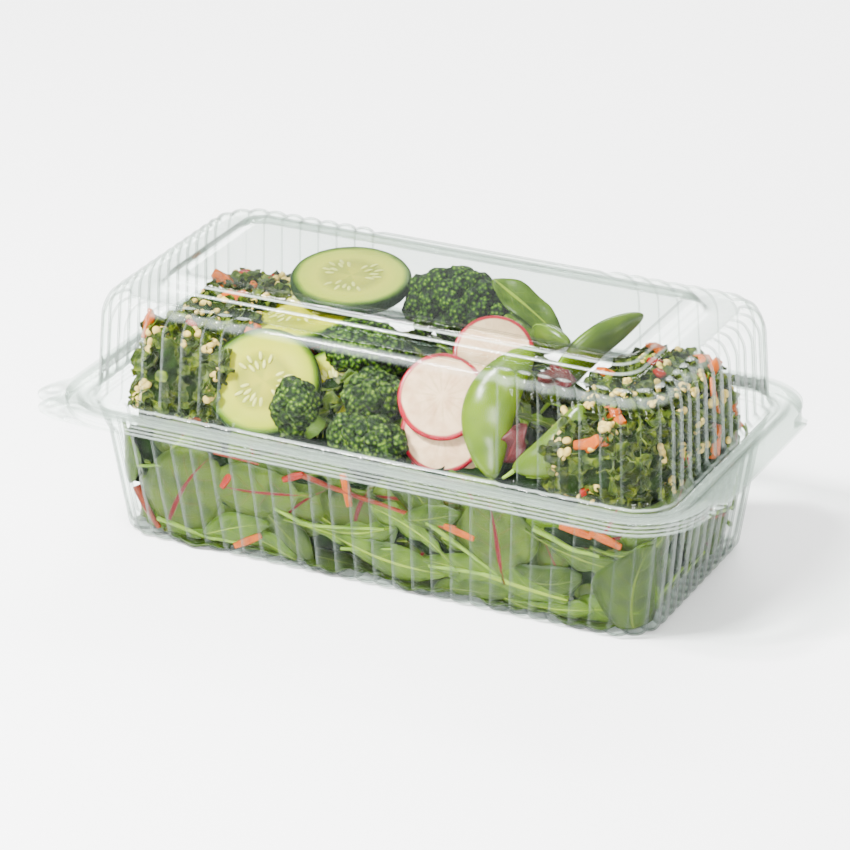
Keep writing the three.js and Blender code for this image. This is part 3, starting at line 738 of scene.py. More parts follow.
def lid_shell(finish):
    stations = fluted_stations(LID_FLUTES)
    rings = wall_rings(LID_SECTION, stations, -1)
    inner = rings[-1]
    for i in range(1, EDGE_STEPS + 1):
        t = i / EDGE_STEPS
        ring = []
        for (stretch, share, _), start in zip(stations, inner):
            end = outer_edge(stretch, share, LID_EDGE["inset"])
            plan = Vector(start[:2]).lerp(end, t)
            ring.append((*plan, LID_EDGE["z"] + tab_ridge(stretch, share, t)))
        rings.append(ring)
    sheet_piece("lid", rings, finish)


def tray_shell(finish):
    stations = fluted_stations(TRAY_FLUTES)
    rings = wall_rings(TRAY_SECTION, stations, 1)
    count = SKIRT_STEPS + EDGE_STEPS
    for i in range(count + 1):
        down = smooth(min(i / SKIRT_STEPS, 1))
        out = max(i - SKIRT_STEPS, 0) / EDGE_STEPS
        ring = []
        for stretch, share, _ in stations:
            top = ring_point(ring_size(TRAY_EDGE["inset"], FLANGE_CORNER), stretch, share, 0)
            foot = ring_point(ring_size(SKIRT["inset"], FLANGE_CORNER), stretch, share, 0)
            lip = foot.lerp(outer_edge(stretch, share, SKIRT["lip"]), out)
            plan = top.lerp(lip, down)
            z = TRAY_EDGE["z"] + (SKIRT["z"] - TRAY_EDGE["z"]) * down + tab_ridge(stretch, share, out)
            if stretch == HINGE_STRETCH:
                leaf = top.lerp(outer_edge(stretch, share, TRAY_EDGE["inset"]), i / count)
                level = smooth(min(share, 1 - share) / 0.04)
                plan = plan.lerp(leaf, level)
                z += (TRAY_EDGE["z"] - z) * level
            ring.append((*plan, z))
        rings.append(ring)
    sheet_piece("tray", rings, finish)


# The heaps' cores

# The grain that a core is rebuilt with, how far it is drawn in, and its lumps' depth and size, in mm
BED_FORM = {"voxel": 1.5, "shrink": 1.6, "relief": 1.6, "lump": 5}
SALAD_FORM = {"voxel": 1.1, "shrink": 0.9, "relief": 2.2, "lump": 3}


def heap_core(node, name, finish, slot, voxel, shrink, relief, lump):
    """A heap's own solid, made even, drawn in a little and roughened."""
    piece = new_thing(name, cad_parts[node].data.copy())
    facing_out(piece)
    with_modifier(piece, "REMESH", mode="VOXEL", voxel_size=voxel * MM)
    with_modifier(piece, "DISPLACE", strength=-shrink * MM, mid_level=0)
    with_modifier(piece, "DISPLACE", strength=relief * MM, mid_level=0.9, texture=lumps("CLOUDS", lump),
                  texture_coords="GLOBAL")
    return settle(piece, name, finish, [node])


# Leaves

LEAF_ROWS = 16
LEAF_COLUMNS = 6
WALL_FOOT_INSET = 18.4
WALL_FOOT_HEIGHT = 1.5
WALL_TOP_INSET = 14.2
WALL_TOP_HEIGHT = 37.6
LEAF_LOWEST = 2.6
LEAF_HIGHEST = 44


def blade_pattern(rows=LEAF_ROWS, columns=LEAF_COLUMNS):
    """A flat strip of faces whose UV says where each corner is on the leaf."""
    sheet = primitive(bpy.ops.mesh.primitive_grid_add, x_subdivisions=rows, y_subdivisions=columns, size=MM)
    return as_pattern(sheet)


def oval(u):
    return math.sin(math.pi * (0.02 + 0.96 * u ** 0.85)) ** 0.7


def stalked(u):
    """A round leaf on a short stalk."""
    if u < 0.16:
        return 0.07 + 0.05 * u
    return 0.08 + 0.92 * math.sin(math.pi * min((u - 0.14) / 0.87, 1) ** 0.8) ** 0.65


def lobed(u):
    """A long leaf with a stalk and deep lobes."""
    if u < 0.28:
        return 0.07
    t = (u - 0.28) / 0.72
    envelope = (0.35 + 0.65 * t) * math.sin(math.pi * min(0.12 + 0.88 * t, 1)) ** 0.5
    return max(0.07, envelope * (0.55 + 0.45 * abs(math.cos(math.pi * 2.6 * t))))


def lance(u):
    return 0.05 + 0.95 * math.sin(math.pi * min(0.03 + 0.97 * u, 1)) ** 0.9


def wall_place(at, height, depth):
    """A point inside the tray: way round its walls from the front's middle, height, depth from the wall."""
    share = min(max((height - WALL_FOOT_HEIGHT) / (WALL_TOP_HEIGHT - WALL_FOOT_HEIGHT), 0), 1)
    inset = WALL_FOOT_INSET + (WALL_TOP_INSET - WALL_FOOT_INSET) * share + SHEET / 2 + depth
    half_x, half_y, radius = ring_size(inset, WALL_CORNER)
    straights = 2 * (half_x - radius), 2 * (half_y - radius)
    arc = math.pi / 2 * radius
    runs = [straights[0], arc, straights[1], arc] * 2
    left = (at + straights[0] / 2) % sum(runs)
    stretch = 0
    while left > runs[stretch]:
        left -= runs[stretch]
        stretch += 1
    plan = ring_point((half_x, half_y, radius), stretch, left / runs[stretch], 0)
    return plan.x, plan.y, height


def leaf_on_wall(pattern, leaf, draw):
    """The corners of one leaf laid against the tray's wall, waving a little away from it."""
    turn = math.radians(leaf["turn"])
    phase, curl = draw.uniform(0, 6), draw.uniform(0.4, 1.6)
    near, lean = leaf.get("near", draw.uniform(0.7, 3)), leaf.get("lean", draw.uniform(-2, 3))
    bow = draw.uniform(-0.12, 0.12)
    placed = []
    for x, y, _ in pattern["corners"]:
        u, v = min(max(x + 0.5, 0), 1), 2 * y
        half = leaf["width"] / 2 * leaf["form"](u)
        along = (u - 0.5) * leaf["length"]
        sway = bow * leaf["length"] * (1 - 4 * (u - 0.5) ** 2)
        across = v * half * (1 + 0.08 * math.sin(9 * u + phase)) + sway
        wave = curl * (0.5 + 0.5 * math.sin(phase + 6 * u + 2 * v)) + 0.9 * curl * v * v
        depth = max(near + lean * (u - 0.5) + wave, 0.5)
        run = leaf["at"] + along * math.cos(turn) - across * math.sin(turn)
        rise = leaf["height"] + along * math.sin(turn) + across * math.cos(turn)
        placed.append(wall_place(run, min(max(rise, LEAF_LOWEST), LEAF_HIGHEST), depth))
    return placed


def leaf_in_air(pattern, leaf, draw):
    """The corners of one leaf that stands free: from a root along a direction, arching and cupped."""
    root, facing = Vector(leaf["root"]), Vector(leaf["facing"]).normalized()
    along = Vector(leaf["along"]).normalized()
    side = facing.cross(along).normalized()
    facing = along.cross(side)
    phase = draw.uniform(0, 6)
    arch, cup = leaf.get("arch", 0.25), leaf.get("cup", 0.25)
    placed = []
    for x, y, _ in pattern["corners"]:
        u, v = min(max(x + 0.5, 0), 1), 2 * y
        half = leaf["width"] / 2 * leaf["form"](u)
        lift = -arch * leaf["length"] * u * u + cup * half * v * v
        lift += leaf.get("ruffle", 0.06) * leaf["width"] * abs(v) * math.sin(14 * u + phase + 2 * v)
        placed.append(root + along * (u * leaf["length"]) + side * (v * half) + facing * lift)
    return placed


# Leaves seen through the front wall. A row holds these values, and the last two may be missing.
LEAF_VALUES = ("at", "height", "turn", "length", "width", "near", "lean", "form")
SHOWN_LEAVES = {
    "chard": [
        (-67, 17, 60, 40, 28, 0.7, 0),
        (-41, 26, 186, 40, 19, 1, 1),
        (-24, 23, 40, 26, 15, 2.4, 1),
        (43, 26, 98, 32, 27, 0.7, 0),
        (-87, 11, 62, 24, 12, 2, 1),
    ],
    "spinach": [
        (-92, 28, 100, 22, 16, 1),
        (-76, 5.5, -12, 26, 10, 1.2),
        (-58, 5, 14, 26, 9, 1.5),
        (-40, 5, 170, 24, 9, 1.4),
        (34, 5, 8, 28, 9, 1.2),
        (56, 5, -8, 28, 10, 1.4),
        (78, 5.5, 12, 26, 10, 1.4),
        (92, 16, 80, 34, 25, 0.6, 0),
        (98, 11, 110, 12, 7, 0.5, 0),
        (58, 16, 8, 27, 13, 0.8, 1),
        (-50, 9, 20, 26, 10, 1),
        (-32, 10, -45, 24, 11, 1),
        (21, 29, 15, 20, 9, 1),
    ],
    "rocket": [
        (-9, 20, 8, 34, 12, 1, 1),
        (-15, 13.5, -12, 34, 9, 0.8, 1),
        (14, 19, 150, 36, 15, 1.4, 1),
        (6, 11.5, -8, 40, 12, 0.7, 0, lance),
        (42, 11, 176, 50, 16, 0.7, 0, lance),
        (70, 28, -14, 34, 14, 0.8, 1),
        (90, 33, 10, 30, 13, 1, 1),
        (60, 6, 4, 30, 9, 0.9, 1),
    ],
}
LEAF_FORMS = {"chard": stalked, "spinach": oval, "rocket": lobed}
# The other leaves of each kind: shortest, longest, slimmest and broadest
LEAF_SIZES = {"chard": (26, 38, 16, 25), "spinach": (20, 34, 12, 21), "rocket": (28, 46, 9, 15)}
LEAVES_OF_A_KIND = 46
# Stalks seen through the front wall: places by way along it and height, and the stalk's half width
PALE_STALKS = [
    ([(-35, 20), (-24, 16), (4, 21)], 0.8),
    ([(19, 27), (43, 13)], 0.8),
    ([(-79, 7), (-60, 3.5), (-46, 4.5)], 0.8),
    ([(-86, 25), (-76, 27)], 0.6),
    ([(56, 33), (68, 28), (78, 27.5)], 1),
    ([(-12, 10), (6, 14)], 0.6),
    ([(19, 11), (44, 12), (66, 8)], 0.7),
]
RED_STALKS = [
    ([(-24, 34), (-11, 31.5), (18, 27.4), (25, 26)], 0.9),
    ([(-88.5, 15.5), (-79, 3)], 1.5),
    ([(-56, 36), (-40, 35)], 0.5),
]
HIDDEN_STALKS = 34
HIDDEN_RED_STALKS = (130, 190, 262, 330, 366)
# The way round the walls, the end of the front on it, and where the front shows the floor behind the leaves
WALL_RUN = 500
FRONT_END = 92
FLOOR_VIEW = (-30, 24)


def greens_leaves(finishes):
    """The leaves against the walls: those that are seen at the front, and more behind and all round."""
    draw = random.Random(5)
    pattern = blade_pattern()
    for kind, shown in SHOWN_LEAVES.items():
        leaves = [{"form": LEAF_FORMS[kind], **dict(zip(LEAF_VALUES, row))} for row in shown]
        shortest, longest, slimmest, broadest = LEAF_SIZES[kind]
        for i in range(LEAVES_OF_A_KIND):
            at = -WALL_RUN * 0.21 + WALL_RUN * (i + draw.random()) / LEAVES_OF_A_KIND
            behind = at < FRONT_END
            height = draw.uniform(9, 37)
            if FLOOR_VIEW[0] < at < FLOOR_VIEW[1]:
                height = max(height, 20)
            turn = draw.choice((0, 180)) + draw.uniform(-40, 40) if kind == "rocket" else draw.uniform(0, 360)
            leaves.append({
                "at": at, "height": height, "form": LEAF_FORMS[kind], "turn": turn,
                "length": draw.uniform(shortest, longest), "width": draw.uniform(slimmest, broadest),
                "near": draw.uniform(2.6, 5) if behind else draw.uniform(0.6, 4.5),
            })
        copies = [(pattern, leaf_on_wall(pattern, leaf, draw), draw.random()) for leaf in leaves]
        leaf_layer(f"{kind}_leaves", copies, finishes[kind])


def stalk_piece(name, routes, finish):
    """Round tapering stalks as one mesh. A route is a row of points and the stalk's half width."""
    curve = bpy.data.curves.new(name, "CURVE")
    curve.dimensions = "3D"
    curve.bevel_depth = MM
    curve.bevel_resolution = 2
    curve.use_fill_caps = True
    curve.resolution_u = 4
    for points, half in routes:
        spline = curve.splines.new("NURBS")
        spline.points.add(len(points) - 1)
        spline.use_endpoint_u = True
        spline.order_u = 4
        for i, (spot, point) in enumerate(zip(spline.points, points)):
            spot.co = (*(Vector(point) * MM), 1)
            spot.radius = half * (1 - 0.45 * i / (len(points) - 1))
    work_on(new_thing(name, curve))
    bpy.ops.object.convert(target="MESH")
    return settle(bpy.context.object, name, finish)


def wall_route(draw, points, near):
    """A stalk along the wall through places given as distance and height."""
    route = []
    for (a, b), (c, d) in zip(points, points[1:]):
        for i in range(4):
            t = i / 4
            route.append(wall_place(a + (c - a) * t, b + (d - b) * t + draw.uniform(-0.4, 0.4), near))
    route.append(wall_place(*points[-1], near))
    return route


def greens_stalks(finishes):
    draw = random.Random(8)
    pale = list(PALE_STALKS)
    for _ in range(HIDDEN_STALKS):
        at = draw.uniform(FRONT_END, WALL_RUN * 0.79)
        height = draw.uniform(6, 38)
        end = (at + draw.uniform(14, 34), height + draw.uniform(-9, 9))
        pale.append(([(at, height), end], draw.uniform(0.5, 0.9)))
    red = list(RED_STALKS)
    for at in HIDDEN_RED_STALKS:
        red.append(([(at, draw.uniform(8, 30)), (at + 24, draw.uniform(8, 32))], 1.2))
    for name, stalks, near in (("pale", pale, 1.4), ("red", red, 1.9)):
        routes = [(wall_route(draw, points, near), half) for points, half in stalks]
        stalk_piece(f"{name}_stalks", routes, finishes[f"{name}_stalk"])


def strip_pattern(length, width, thickness):
    """A cut strip with eased edges and a slight bend."""
    piece = primitive(bpy.ops.mesh.primitive_cube_add, size=MM)
    piece.scale = (length, width, thickness)
    bpy.ops.object.transform_apply()
    bpy.ops.object.mode_set(mode="EDIT")
    bpy.ops.mesh.select_all(action="SELECT")
    bpy.ops.mesh.subdivide(number_cuts=1)
    bpy.ops.object.mode_set(mode="OBJECT")
    for vertex in piece.data.vertices:
        spot = vertex.co / MM
        squeeze = 1 - 0.25 * (2 * spot.x / length) ** 2
        vertex.co = Vector((spot.x, spot.y * squeeze, spot.z * squeeze + 0.12 * spot.x ** 2 / length)) * MM
    with_modifier(piece, "BEVEL", width=0.25 * MM, segments=1)
    return as_pattern(piece)


def bead_pattern(x, y, z):
    """A small rounded grain."""
    piece = primitive(bpy.ops.mesh.primitive_ico_sphere_add, subdivisions=1, radius=MM / 2)
    piece.scale = (x, y, z)
    bpy.ops.object.transform_apply()
    with_modifier(piece, "SUBSURF", levels=1, render_levels=1)
    return as_pattern(piece)


def crinkled_pattern(seed, length, width):
    """A torn bit of curly leaf."""
    pattern = blade_pattern(5, 3)
    for corner in pattern["corners"]:
        u, v = corner[0] * 2, corner[1] * 2
        reach = 1 - 0.25 * abs(u * v) + 0.18 * noise.noise(Vector((u * 2 + seed, v * 2, seed)))
        ruffle = noise.noise(Vector((u * 1.6, v * 1.6 + seed, 3))) * (0.6 + 1.4 * abs(v))
        corner[:] = (u * length / 2 * reach, v * width / 2 * reach, ruffle * width * 0.28)
    return pattern


def strips_on_wall(finishes):
    """The cut carrot and pepper among the greens at the front."""
    carrot, pepper = strip_pattern(11, 2.6, 1.4), strip_pattern(8, 2.4, 1.6)
    # Way round the walls, height, distance from the wall, pattern and turn
    places = {
        "carrot": [(-9, 32.2, 1.3, carrot, -75), (30, 25.4, 1.3, carrot, -12), (70, 34.5, 1.5, carrot, -8),
                   (80, 33.6, 1.3, carrot, -14), (-46, 5.5, 0.8, carrot, 30)],
        "pepper": [(-27.7, 33, 1.2, pepper, 24), (-51.5, 27.5, 0.8, pepper, 60)],
    }
    for kind, spots in places.items():
        copies = []
        for at, height, near, pattern, turn in spots:
            point = Vector(wall_place(at, height, near + 0.9))
            place = stood_on(point, (0, -1, 0.1), math.radians(turn))
            copies.append((pattern, turned(pattern, place), 0.5))
        piece = joined_copies(kind, copies)
        settle(piece, f"{kind}_strips_low", finishes[kind], sharp=40)


# The grain salads and what fills the gaps on top

# Seed, length and width of the torn bits, and the sizes of grains, carrot shreds and pepper cubes in mm
KALE_FORMS = ((1, 7, 5), (4, 9, 5), (7, 5.5, 4.5))
GRAIN_FORMS = ((3.8, 3.3, 2.6), (3.1, 2.9, 2.4))
SHRED_FORMS = ((11, 3.6, 2), (7, 5, 2.6))
CUBE_FORMS = ((5, 3.6, 2),)
# How many there are on each salad and on the bed, and the heights from which either shows
KALE_BITS = 780
GRAIN_GROUPS = 105
CARROT_PAIRS = 20
PEPPER_BITS = 12
SALAD_SHOWS = 44.5
SMALL_LEAVES = 120
TORN_KALE = 160
BED_SHOWS = 41
# A full turn, in radians
ANY_TURN = 6.3


def on_top(point, normal):
    return normal.z > 0.1 and point.z > BED_SHOWS


def salad_bits(cores, finishes):
    """Torn kale, grains, carrot and pepper all over the two salads."""
    draw = random.Random(17)
    kale = [crinkled_pattern(*form) for form in KALE_FORMS]
    grain = [bead_pattern(*form) for form in GRAIN_FORMS]
    shred = [strip_pattern(*form) for form in SHRED_FORMS]
    cube = [strip_pattern(*form) for form in CUBE_FORMS]

    def spread(patterns, count, stand_off, tilt, group=1):
        copies = []
        for core in cores:
            spots = surface_points(core, count * group, draw, lambda point, _: point.z > SALAD_SHOWS)
            for i, (point, normal) in enumerate(spots):
                if i % group:
                    offset = jolt(draw, 1.7)
                    heart, normal = spots[i - i % group]
                    point = heart + offset - normal * offset.dot(normal)
                lean = jolt(draw, tilt)
                pattern = draw.choice(patterns)
                size = draw.uniform(0.8, 1.2)
                spot, spin = point + normal * stand_off, draw.uniform(0, ANY_TURN)
                place = stood_on(spot, normal + lean, spin, (size,) * 3)
                copies.append((pattern, turned(pattern, place), draw.random()))
        return copies

    leaf_layer("kale_bits", spread(kale, KALE_BITS, 0.3, 0.7), finishes["kale"], sharp=60)
    for name, copies, finish in (
        ("grains", spread(grain, GRAIN_GROUPS, 1.2, 0.3, 4), "grain"),
        ("carrot_shreds", spread(shred, CARROT_PAIRS, 1.1, 0.35, 2), "carrot"),
        ("pepper_bits", spread(cube, PEPPER_BITS, 1, 0.3), "pepper"),
    ):
        settle(joined_copies(name, copies), name, finishes[finish], sharp=60)


def bed_bits(core, finishes):
    """Small leaves and torn kale that fill the gaps between the toppings."""
    draw = random.Random(29)
    blade = blade_pattern(12, 4)
    kale = [crinkled_pattern(seed, 9, 6) for seed in (2, 5)]
    small, torn = [], []
    for point, normal in surface_points(core, SMALL_LEAVES, draw, on_top):
        around = draw.uniform(0, ANY_TURN)
        along = Vector((math.cos(around), math.sin(around), draw.uniform(-0.1, 0.5)))
        leaf = {
            "root": point, "along": along, "facing": normal,
            "length": draw.uniform(12, 20), "width": draw.uniform(5, 9),
            "form": draw.choice((oval, lobed)), "arch": draw.uniform(0.1, 0.4),
        }
        small.append((blade, leaf_in_air(blade, leaf, draw), draw.random()))
    for point, normal in surface_points(core, TORN_KALE, draw, on_top):
        pattern = draw.choice(kale)
        lean = jolt(draw, 0.5)
        place = stood_on(point + normal * 0.5, normal + lean, draw.uniform(0, ANY_TURN))
        torn.append((pattern, turned(pattern, place), draw.random()))
    for name, copies, finish in (("small_leaves", small, "rocket"), ("torn_kale", torn, "kale")):
        leaf_layer(name, copies, finishes[finish])


# The toppings

SLICE_SIDES = 64
# A slice's outline from the middle of its face round to its back, as shares of its radius and half thickness
SLICE_PROFILE = (
    (0.12, 1), (0.4, 1), (0.68, 1), (0.9, 1), (0.97, 0.92), (1, 0.5),
    (1, -0.5), (0.97, -0.92), (0.9, -1), (0.5, -1), (0.12, -1),
)
SLICE_SPIN = 1.9
SEEDS_IN_A_LOBE = 7


def slice_piece(kind, number, slice_, finish):
    """A round slice, drawn in rings over its face, its rim and its back and then turned into place."""
    seed = number * 7.3
    rings = []
    for share, level in SLICE_PROFILE:
        ring = []
        for i in range(SLICE_SIDES):
            angle = 2 * math.pi * i / SLICE_SIDES
            way = math.cos(angle), math.sin(angle)
            uneven = 1 - 0.025 * (0.5 + 0.5 * noise.noise(Vector((way[0] * 1.5, way[1] * 1.5, seed))))
            x, y = (slice_.radius * share * uneven * part for part in way)
            warp = 0.35 * noise.noise(Vector((x / 12, y / 12, seed + 3)))
            ring.append((x, y, slice_.thickness / 2 * level + warp))
        rings.append(ring)
    piece = drawn_rings(rings, close_first=True, close_last=True)
    layer = piece.data.uv_layers.new(name="UVMap")
    reach = 2 * slice_.radius * MM
    for loop in piece.data.loops:
        spot = piece.data.vertices[loop.vertex_index].co
        layer.data[loop.index].uv = (0.5 + spot.x / reach, 0.5 + spot.y / reach)
    place = stood_on(Vector(slice_.at) * MM, slice_.facing, number * SLICE_SPIN)
    piece.data.transform(place)
    return settle(piece, f"sliced_{kind}_{number}", finish, [f"{kind}_slice_{number}"], sharp=60)


def cucumber_seeds(finish):
    """Pale seeds in three lobes, half sunk in the upper face of each slice."""
    draw = random.Random(3)
    seed = bead_pattern(4.4, 1.7, 0.8)
    copies = []
    for number, slice_ in enumerate(CUCUMBERS, 1):
        base = stood_on(slice_.at, slice_.facing, number * SLICE_SPIN)
        for i in range(3 * SEEDS_IN_A_LOBE):
            lobe, row = divmod(i, SEEDS_IN_A_LOBE)
            angle = 2 * math.pi * lobe / 3 + (row - 3) * 0.2 + draw.uniform(-0.05, 0.05) + 0.5
            reach = slice_.radius * (0.34 + 0.1 * (i % 2) + draw.uniform(-0.04, 0.04))
            spot = Vector((reach * math.cos(angle), reach * math.sin(angle), slice_.thickness / 2 + 0.02))
            place = base @ Matrix.Translation(spot) @ Matrix.Rotation(angle, 4, "Z")
            copies.append((seed, turned(seed, place), draw.random()))
    settle(joined_copies("seeds", copies), "cucumber_seeds", finish)


def pod_axes(pod):
    """A pod's start and middle, half its length, and the ways along it and towards its outer seam."""
    start, end = Vector(pod.start), Vector(pod.end)
    axis = (end - start).normalized()
    side = Vector(pod.bulge)
    side = (side - axis * side.dot(axis)).normalized()
    return start, (start + end) / 2, (end - start).length / 2, axis, side


def pod_piece(number, pod, finish):
    """A pod: a flat ball stretched between its ends, bowed, pinched at the seam and swollen by its peas."""
    piece = primitive(bpy.ops.mesh.primitive_uv_sphere_add, segments=28, ring_count=40, radius=1)
    _, middle, half, axis, side = pod_axes(pod)
    flat = side.cross(axis)
    for vertex in piece.data.vertices:
        across, through, along = vertex.co
        point = middle + axis * (along * half)
        bow = 2 * half * POD_BEND * (0.5 - along * along)
        peas = 1 - 0.14 * (0.5 - 0.5 * math.cos(along * 13)) * (1 - abs(across))
        seam = 1 - 0.3 * across ** 4
        point += side * (across * pod.width / 2 * (1 - 0.1 * along * along - 0.12 * along ** 8) + bow)
        point += flat * (through * pod.thick / 2 * peas * seam)
        vertex.co = point * MM
    facing_out(piece)
    tone = piece.data.attributes.new("tone", "FLOAT", "POINT")
    tone.data.foreach_set("value", [0.3 + 0.2 * (number % 3)] * len(piece.data.vertices))
    return settle(piece, f"pod_{number}", finish, [f"pea_pod_{number}"])


def pod_stalks(finish):
    """Each pod's little stalk and the pale string along its outer seam."""
    routes = []
    for pod in PODS:
        start, middle, half, axis, side = pod_axes(pod)
        sunk = side * (half * POD_BEND)
        stalk = [start - sunk + axis * 2, start - sunk - axis * 1.5, start - sunk * 1.3 - axis * 4]
        routes.append((stalk, 0.9))
        seam = []
        for i in range(9):
            along = -0.88 + 1.76 * i / 8
            bow = 2 * half * POD_BEND * (0.5 - along * along)
            width = math.sqrt(1 - along * along) * pod.width / 2 * (1 - 0.1 * along * along)
            seam.append(middle + axis * (along * half) + side * (width + bow - 0.15))
        routes.append((seam, 0.45))
    stalk_piece("pod_stalks", routes, finish)


def cluster_pattern(seed):
    """A knob of tight buds."""
    away = seed * MM * 9
    ball = bpy.ops.mesh.primitive_ico_sphere_add
    piece = primitive(ball, subdivisions=3, radius=MM, location=(away, 0, 0))
    bpy.ops.object.transform_apply()
    with_modifier(piece, "DISPLACE", strength=-0.34 * MM, mid_level=0, texture=lumps("VORONOI", 0.34),
                  texture_coords="GLOBAL")
    piece.data.transform(Matrix.Translation((-away, 0, 0)))
    return as_pattern(piece)


def floret_piece(number, floret, finish, clusters):
    """A crown of bud clusters of uneven size over a ball, inside the crown's outline."""
    draw = random.Random(number * 13)
    at, half = Vector(floret.at), Vector(floret.half)
    stem = Vector(floret.stem).normalized()
    count = floret.clusters
    mean = (half.x * half.y * half.z) ** (1 / 3)
    size = 2.35 * mean / math.sqrt(count)
    copies, under = [], []
    for i in range(count):
        z = 1 - 2 * (i + 0.5) / count
        angle = i * math.pi * (3 - math.sqrt(5)) + draw.uniform(-0.15, 0.15)
        flat = math.sqrt(1 - z * z)
        direction = Vector((flat * math.cos(angle), flat * math.sin(angle), z))
        if direction.dot(stem) > 0.75:
            continue
        radius = size * draw.uniform(0.8, 1.15)
        reach = draw.uniform(0.86, 1.0)
        spot = at + Vector(direction[k] * (half[k] * reach - radius * 0.85) for k in range(3))
        place = stood_on(spot, direction, draw.uniform(0, ANY_TURN), (radius, radius, radius * 0.95))
        pattern = draw.choice(clusters)
        # Painted light: clusters that face up get a brighter tone, those below a darker one, with a little at
        # random
        tone = 0.25 + 0.5 * (direction.z * 0.5 + 0.5) + draw.uniform(-0.2, 0.2)
        copies.append((pattern, turned(pattern, place), tone))
        if direction.dot(stem) > -0.2:
            under.append(spot)
    piece = joined_copies("crown", copies)
    settle(piece, f"broccoli_crown_{number}", finish, [f"broccoli_floret_{number}"])
    return under


def floret_stalks(under_all, finish):
    """Pale stems that branch from each cut end out to the clusters."""
    routes = []
    draw = random.Random(31)
    for floret, under in zip(FLORETS, under_all):
        at, stem = Vector(floret.at), Vector(floret.stem).normalized()
        reach = STEM_REACH * min(floret.half)
        foot = at + stem * (reach - 0.6)
        fork = at + stem * (reach * 0.45)
        trunk = [foot, at + stem * (reach * 0.75), fork, at + stem * (reach * 0.2)]
        routes.append((trunk, STEM_END_RADIUS * 0.9))
        for spot in under:
            middle = fork.lerp(spot, 0.5) + stem * draw.uniform(0, 1.5)
            routes.append(([fork + stem * 2, fork, middle, spot], 1.5))
    return stalk_piece("broccoli_stalks", routes, finish)


def floor_leaves(finishes):
    """Leaves that lie flat on the floor of the tray near its front."""
    draw = random.Random(43)
    blade = blade_pattern()
    leaves = []
    for i in range(16):
        way = 1 if i < 8 else -1
        along = Vector((way, draw.uniform(-0.12, 0.12), 0))
        root = (-78 + i * 10.4 + draw.uniform(-4, 4), draw.uniform(-38, -34), 2.2 + 0.5 * (i % 3))
        leaves.append({"root": root, "along": along, "facing": (0, -0.1, 1), "length": draw.uniform(20, 28),
                       "width": draw.uniform(9, 13), "form": oval, "arch": 0.02, "cup": 0.05})
    # Painted shade: these leaves get only the dark end of the tones, as they lie under the heap
    copies = [(blade, leaf_in_air(blade, leaf, draw), draw.uniform(0, 0.3)) for leaf in leaves]
    leaf_layer("floor_leaves", copies, finishes["spinach"])


def top_leaves(finishes):
    """The single leaves that show on top: green ones by the large crown, dark red bits by the pods."""
    draw = random.Random(41)
    blade = blade_pattern()
    values = ("root", "along", "facing", "length", "width", "arch", "ruffle")
    green = [
        ((12, 20, 84), (0.86, -0.1, -0.42), (0.3, -0.5, 0.8), 30, 11, 0.12, 0.09),
        ((18, 16, 74), (0.7, -0.3, -0.3), (0.1, -0.6, 0.8), 18, 10, 0.2, 0.12),
    ]
    red = [
        ((40, -6, 66), (0.8, -0.2, 0.15), (0, -0.6, 0.8), 14, 8, 0.1, 0.15),
        ((41, -32, 47), (0.3, 0.1, 0.9), (0, -1, 0.2), 14, 8, 0.1, 0.15),
    ]
    for name, leaves, finish in (("topping_leaf", green, "rocket"), ("red_leaf_bits", red, "red_leaf")):
        leaves = [{"form": oval, **dict(zip(values, row))} for row in leaves]
        copies = [(blade, leaf_in_air(blade, leaf, draw), 0.5) for leaf in leaves]
        leaf_layer(name, copies, finishes[finish], thickness=0.4)


def make_food(finishes):
    # The cores are coloured as painted shade between the pieces on them
    bed = heap_core("greens_bed", "greens_core", finishes["dark_greens"], "greens", **BED_FORM)
    dark_salad = finishes["dark_salad"]
    cores = [
        heap_core(f"grain_salad_{side}", f"salad_core_{side}", dark_salad, "grain_salad", **SALAD_FORM)
        for side in ("left", "right")
    ]
    greens_leaves(finishes)
    greens_stalks(finishes)
    floor_leaves(finishes)
    strips_on_wall(finishes)
    salad_bits(cores, finishes)
    bed_bits(bed, finishes)
    top_leaves(finishes)
    for number, slice_ in enumerate(CUCUMBERS, 1):
        slice_piece("cucumber", number, slice_, finishes["cucumber"])
    cucumber_seeds(finishes["seed"])
    for number, slice_ in enumerate(RADISHES, 1):
        slice_piece("radish", number, slice_, finishes["radish"])
    for number, pod in enumerate(PODS, 1):
        pod_piece(number, pod, finishes["pea_pod"])
    pod_stalks(finishes["pale_stalk"])
    clusters = [cluster_pattern(seed) for seed in (1, 2, 3)]
    under = []
    for number, floret in enumerate(FLORETS, 1):
        finish = finishes["broccoli_dark" if number < 3 else "broccoli_light"]
        under.append(floret_piece(number, floret, finish, clusters))
    floret_stalks(under, finishes["broccoli_stem"])


# The studio

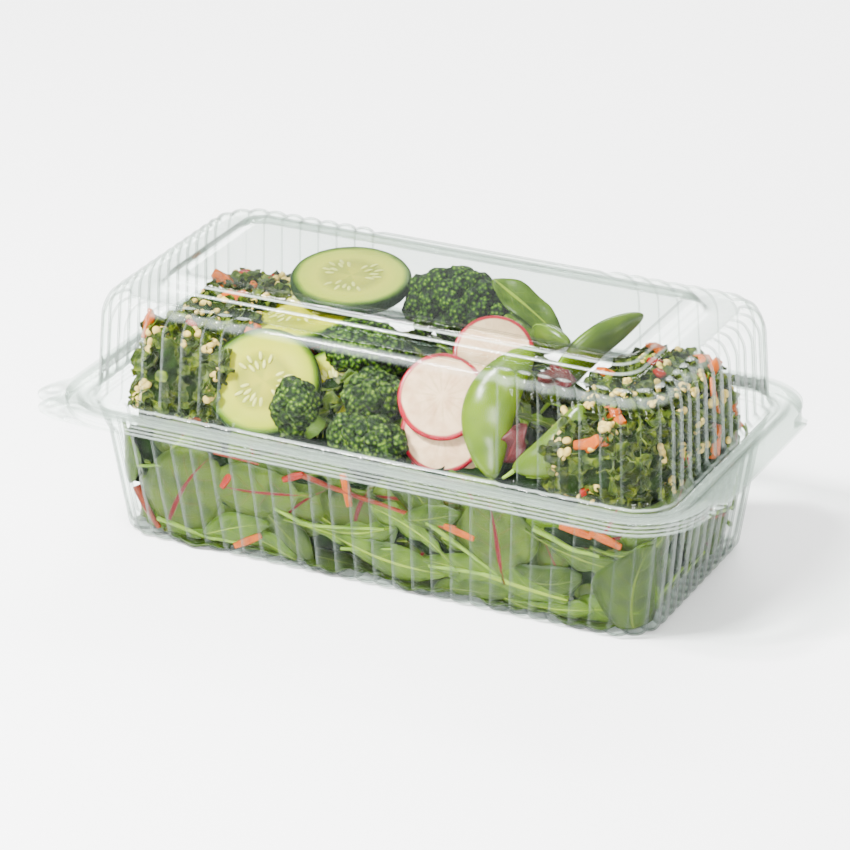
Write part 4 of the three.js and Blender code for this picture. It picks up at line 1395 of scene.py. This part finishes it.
CAMERA_AT = (523.213, -1085.026, 582.764)
CAMERA_RIGHT = (0.89990, 0.43610, 0)
CAMERA_UP = (-0.17951, 0.37042, 0.91135)
CAMERA_LENS = 173.95
SENSOR = 36
# Place and size of each lamp in metres, and its power in watts
LIGHTS = {
    "key": ((-0.45, -0.55, 1.0), (0.26, 0.26), 62),
    "glint": ((-0.42, -0.42, 0.86), (0.1, 0.05), 16),
    "fill": ((0.5, -1.1, 0.55), (0.5, 0.4), 24),
    "rim": ((-0.2, 0.9, 0.8), (0.8, 0.2), 22),
}
LIT_PLACE = (0, 0, 0.045)
WORLD_STRENGTH = 1.1


def make_camera():
    data = bpy.data.cameras.new("camera")
    data.lens = CAMERA_LENS
    data.sensor_width = SENSOR
    camera = new_thing("camera", data)
    right, up = Vector(CAMERA_RIGHT), Vector(CAMERA_UP)
    turn = Matrix((right, up, right.cross(up))).transposed()
    camera.matrix_world = Matrix.Translation(Vector(CAMERA_AT) * MM) @ turn.to_4x4()
    bpy.context.scene.camera = camera


def make_light(name, at, size, power):
    data = bpy.data.lights.new(name, "AREA")
    data.shape = "RECTANGLE"
    data.size, data.size_y = size
    data.energy = power
    towards = (Vector(LIT_PLACE) - Vector(at)).to_track_quat("-Z", "Y").to_matrix().to_4x4()
    new_thing(name, data).matrix_world = Matrix.Translation(at) @ towards


def make_studio():
    floor = primitive(bpy.ops.mesh.primitive_plane_add, size=8)
    floor.name = "floor"
    finish = Finish("floor", roughness=0.7, specular_ior_level=0.1)
    finish.set("Base Color", paint(246, 246, 246))
    floor.data.materials.append(finish.material)
    world = bpy.data.worlds.new("studio")
    world.use_nodes = True
    background = world.node_tree.nodes["Background"]
    background.inputs["Color"].default_value = (1, 1, 1, 1)
    background.inputs["Strength"].default_value = WORLD_STRENGTH
    bpy.context.scene.world = world
    for name, (at, size, power) in LIGHTS.items():
        make_light(name, at, size, power)


make_camera()
make_studio()
plastic = clear_plastic_finish()
make_food(food_finishes())
tray_shell(plastic)
lid_shell(plastic)
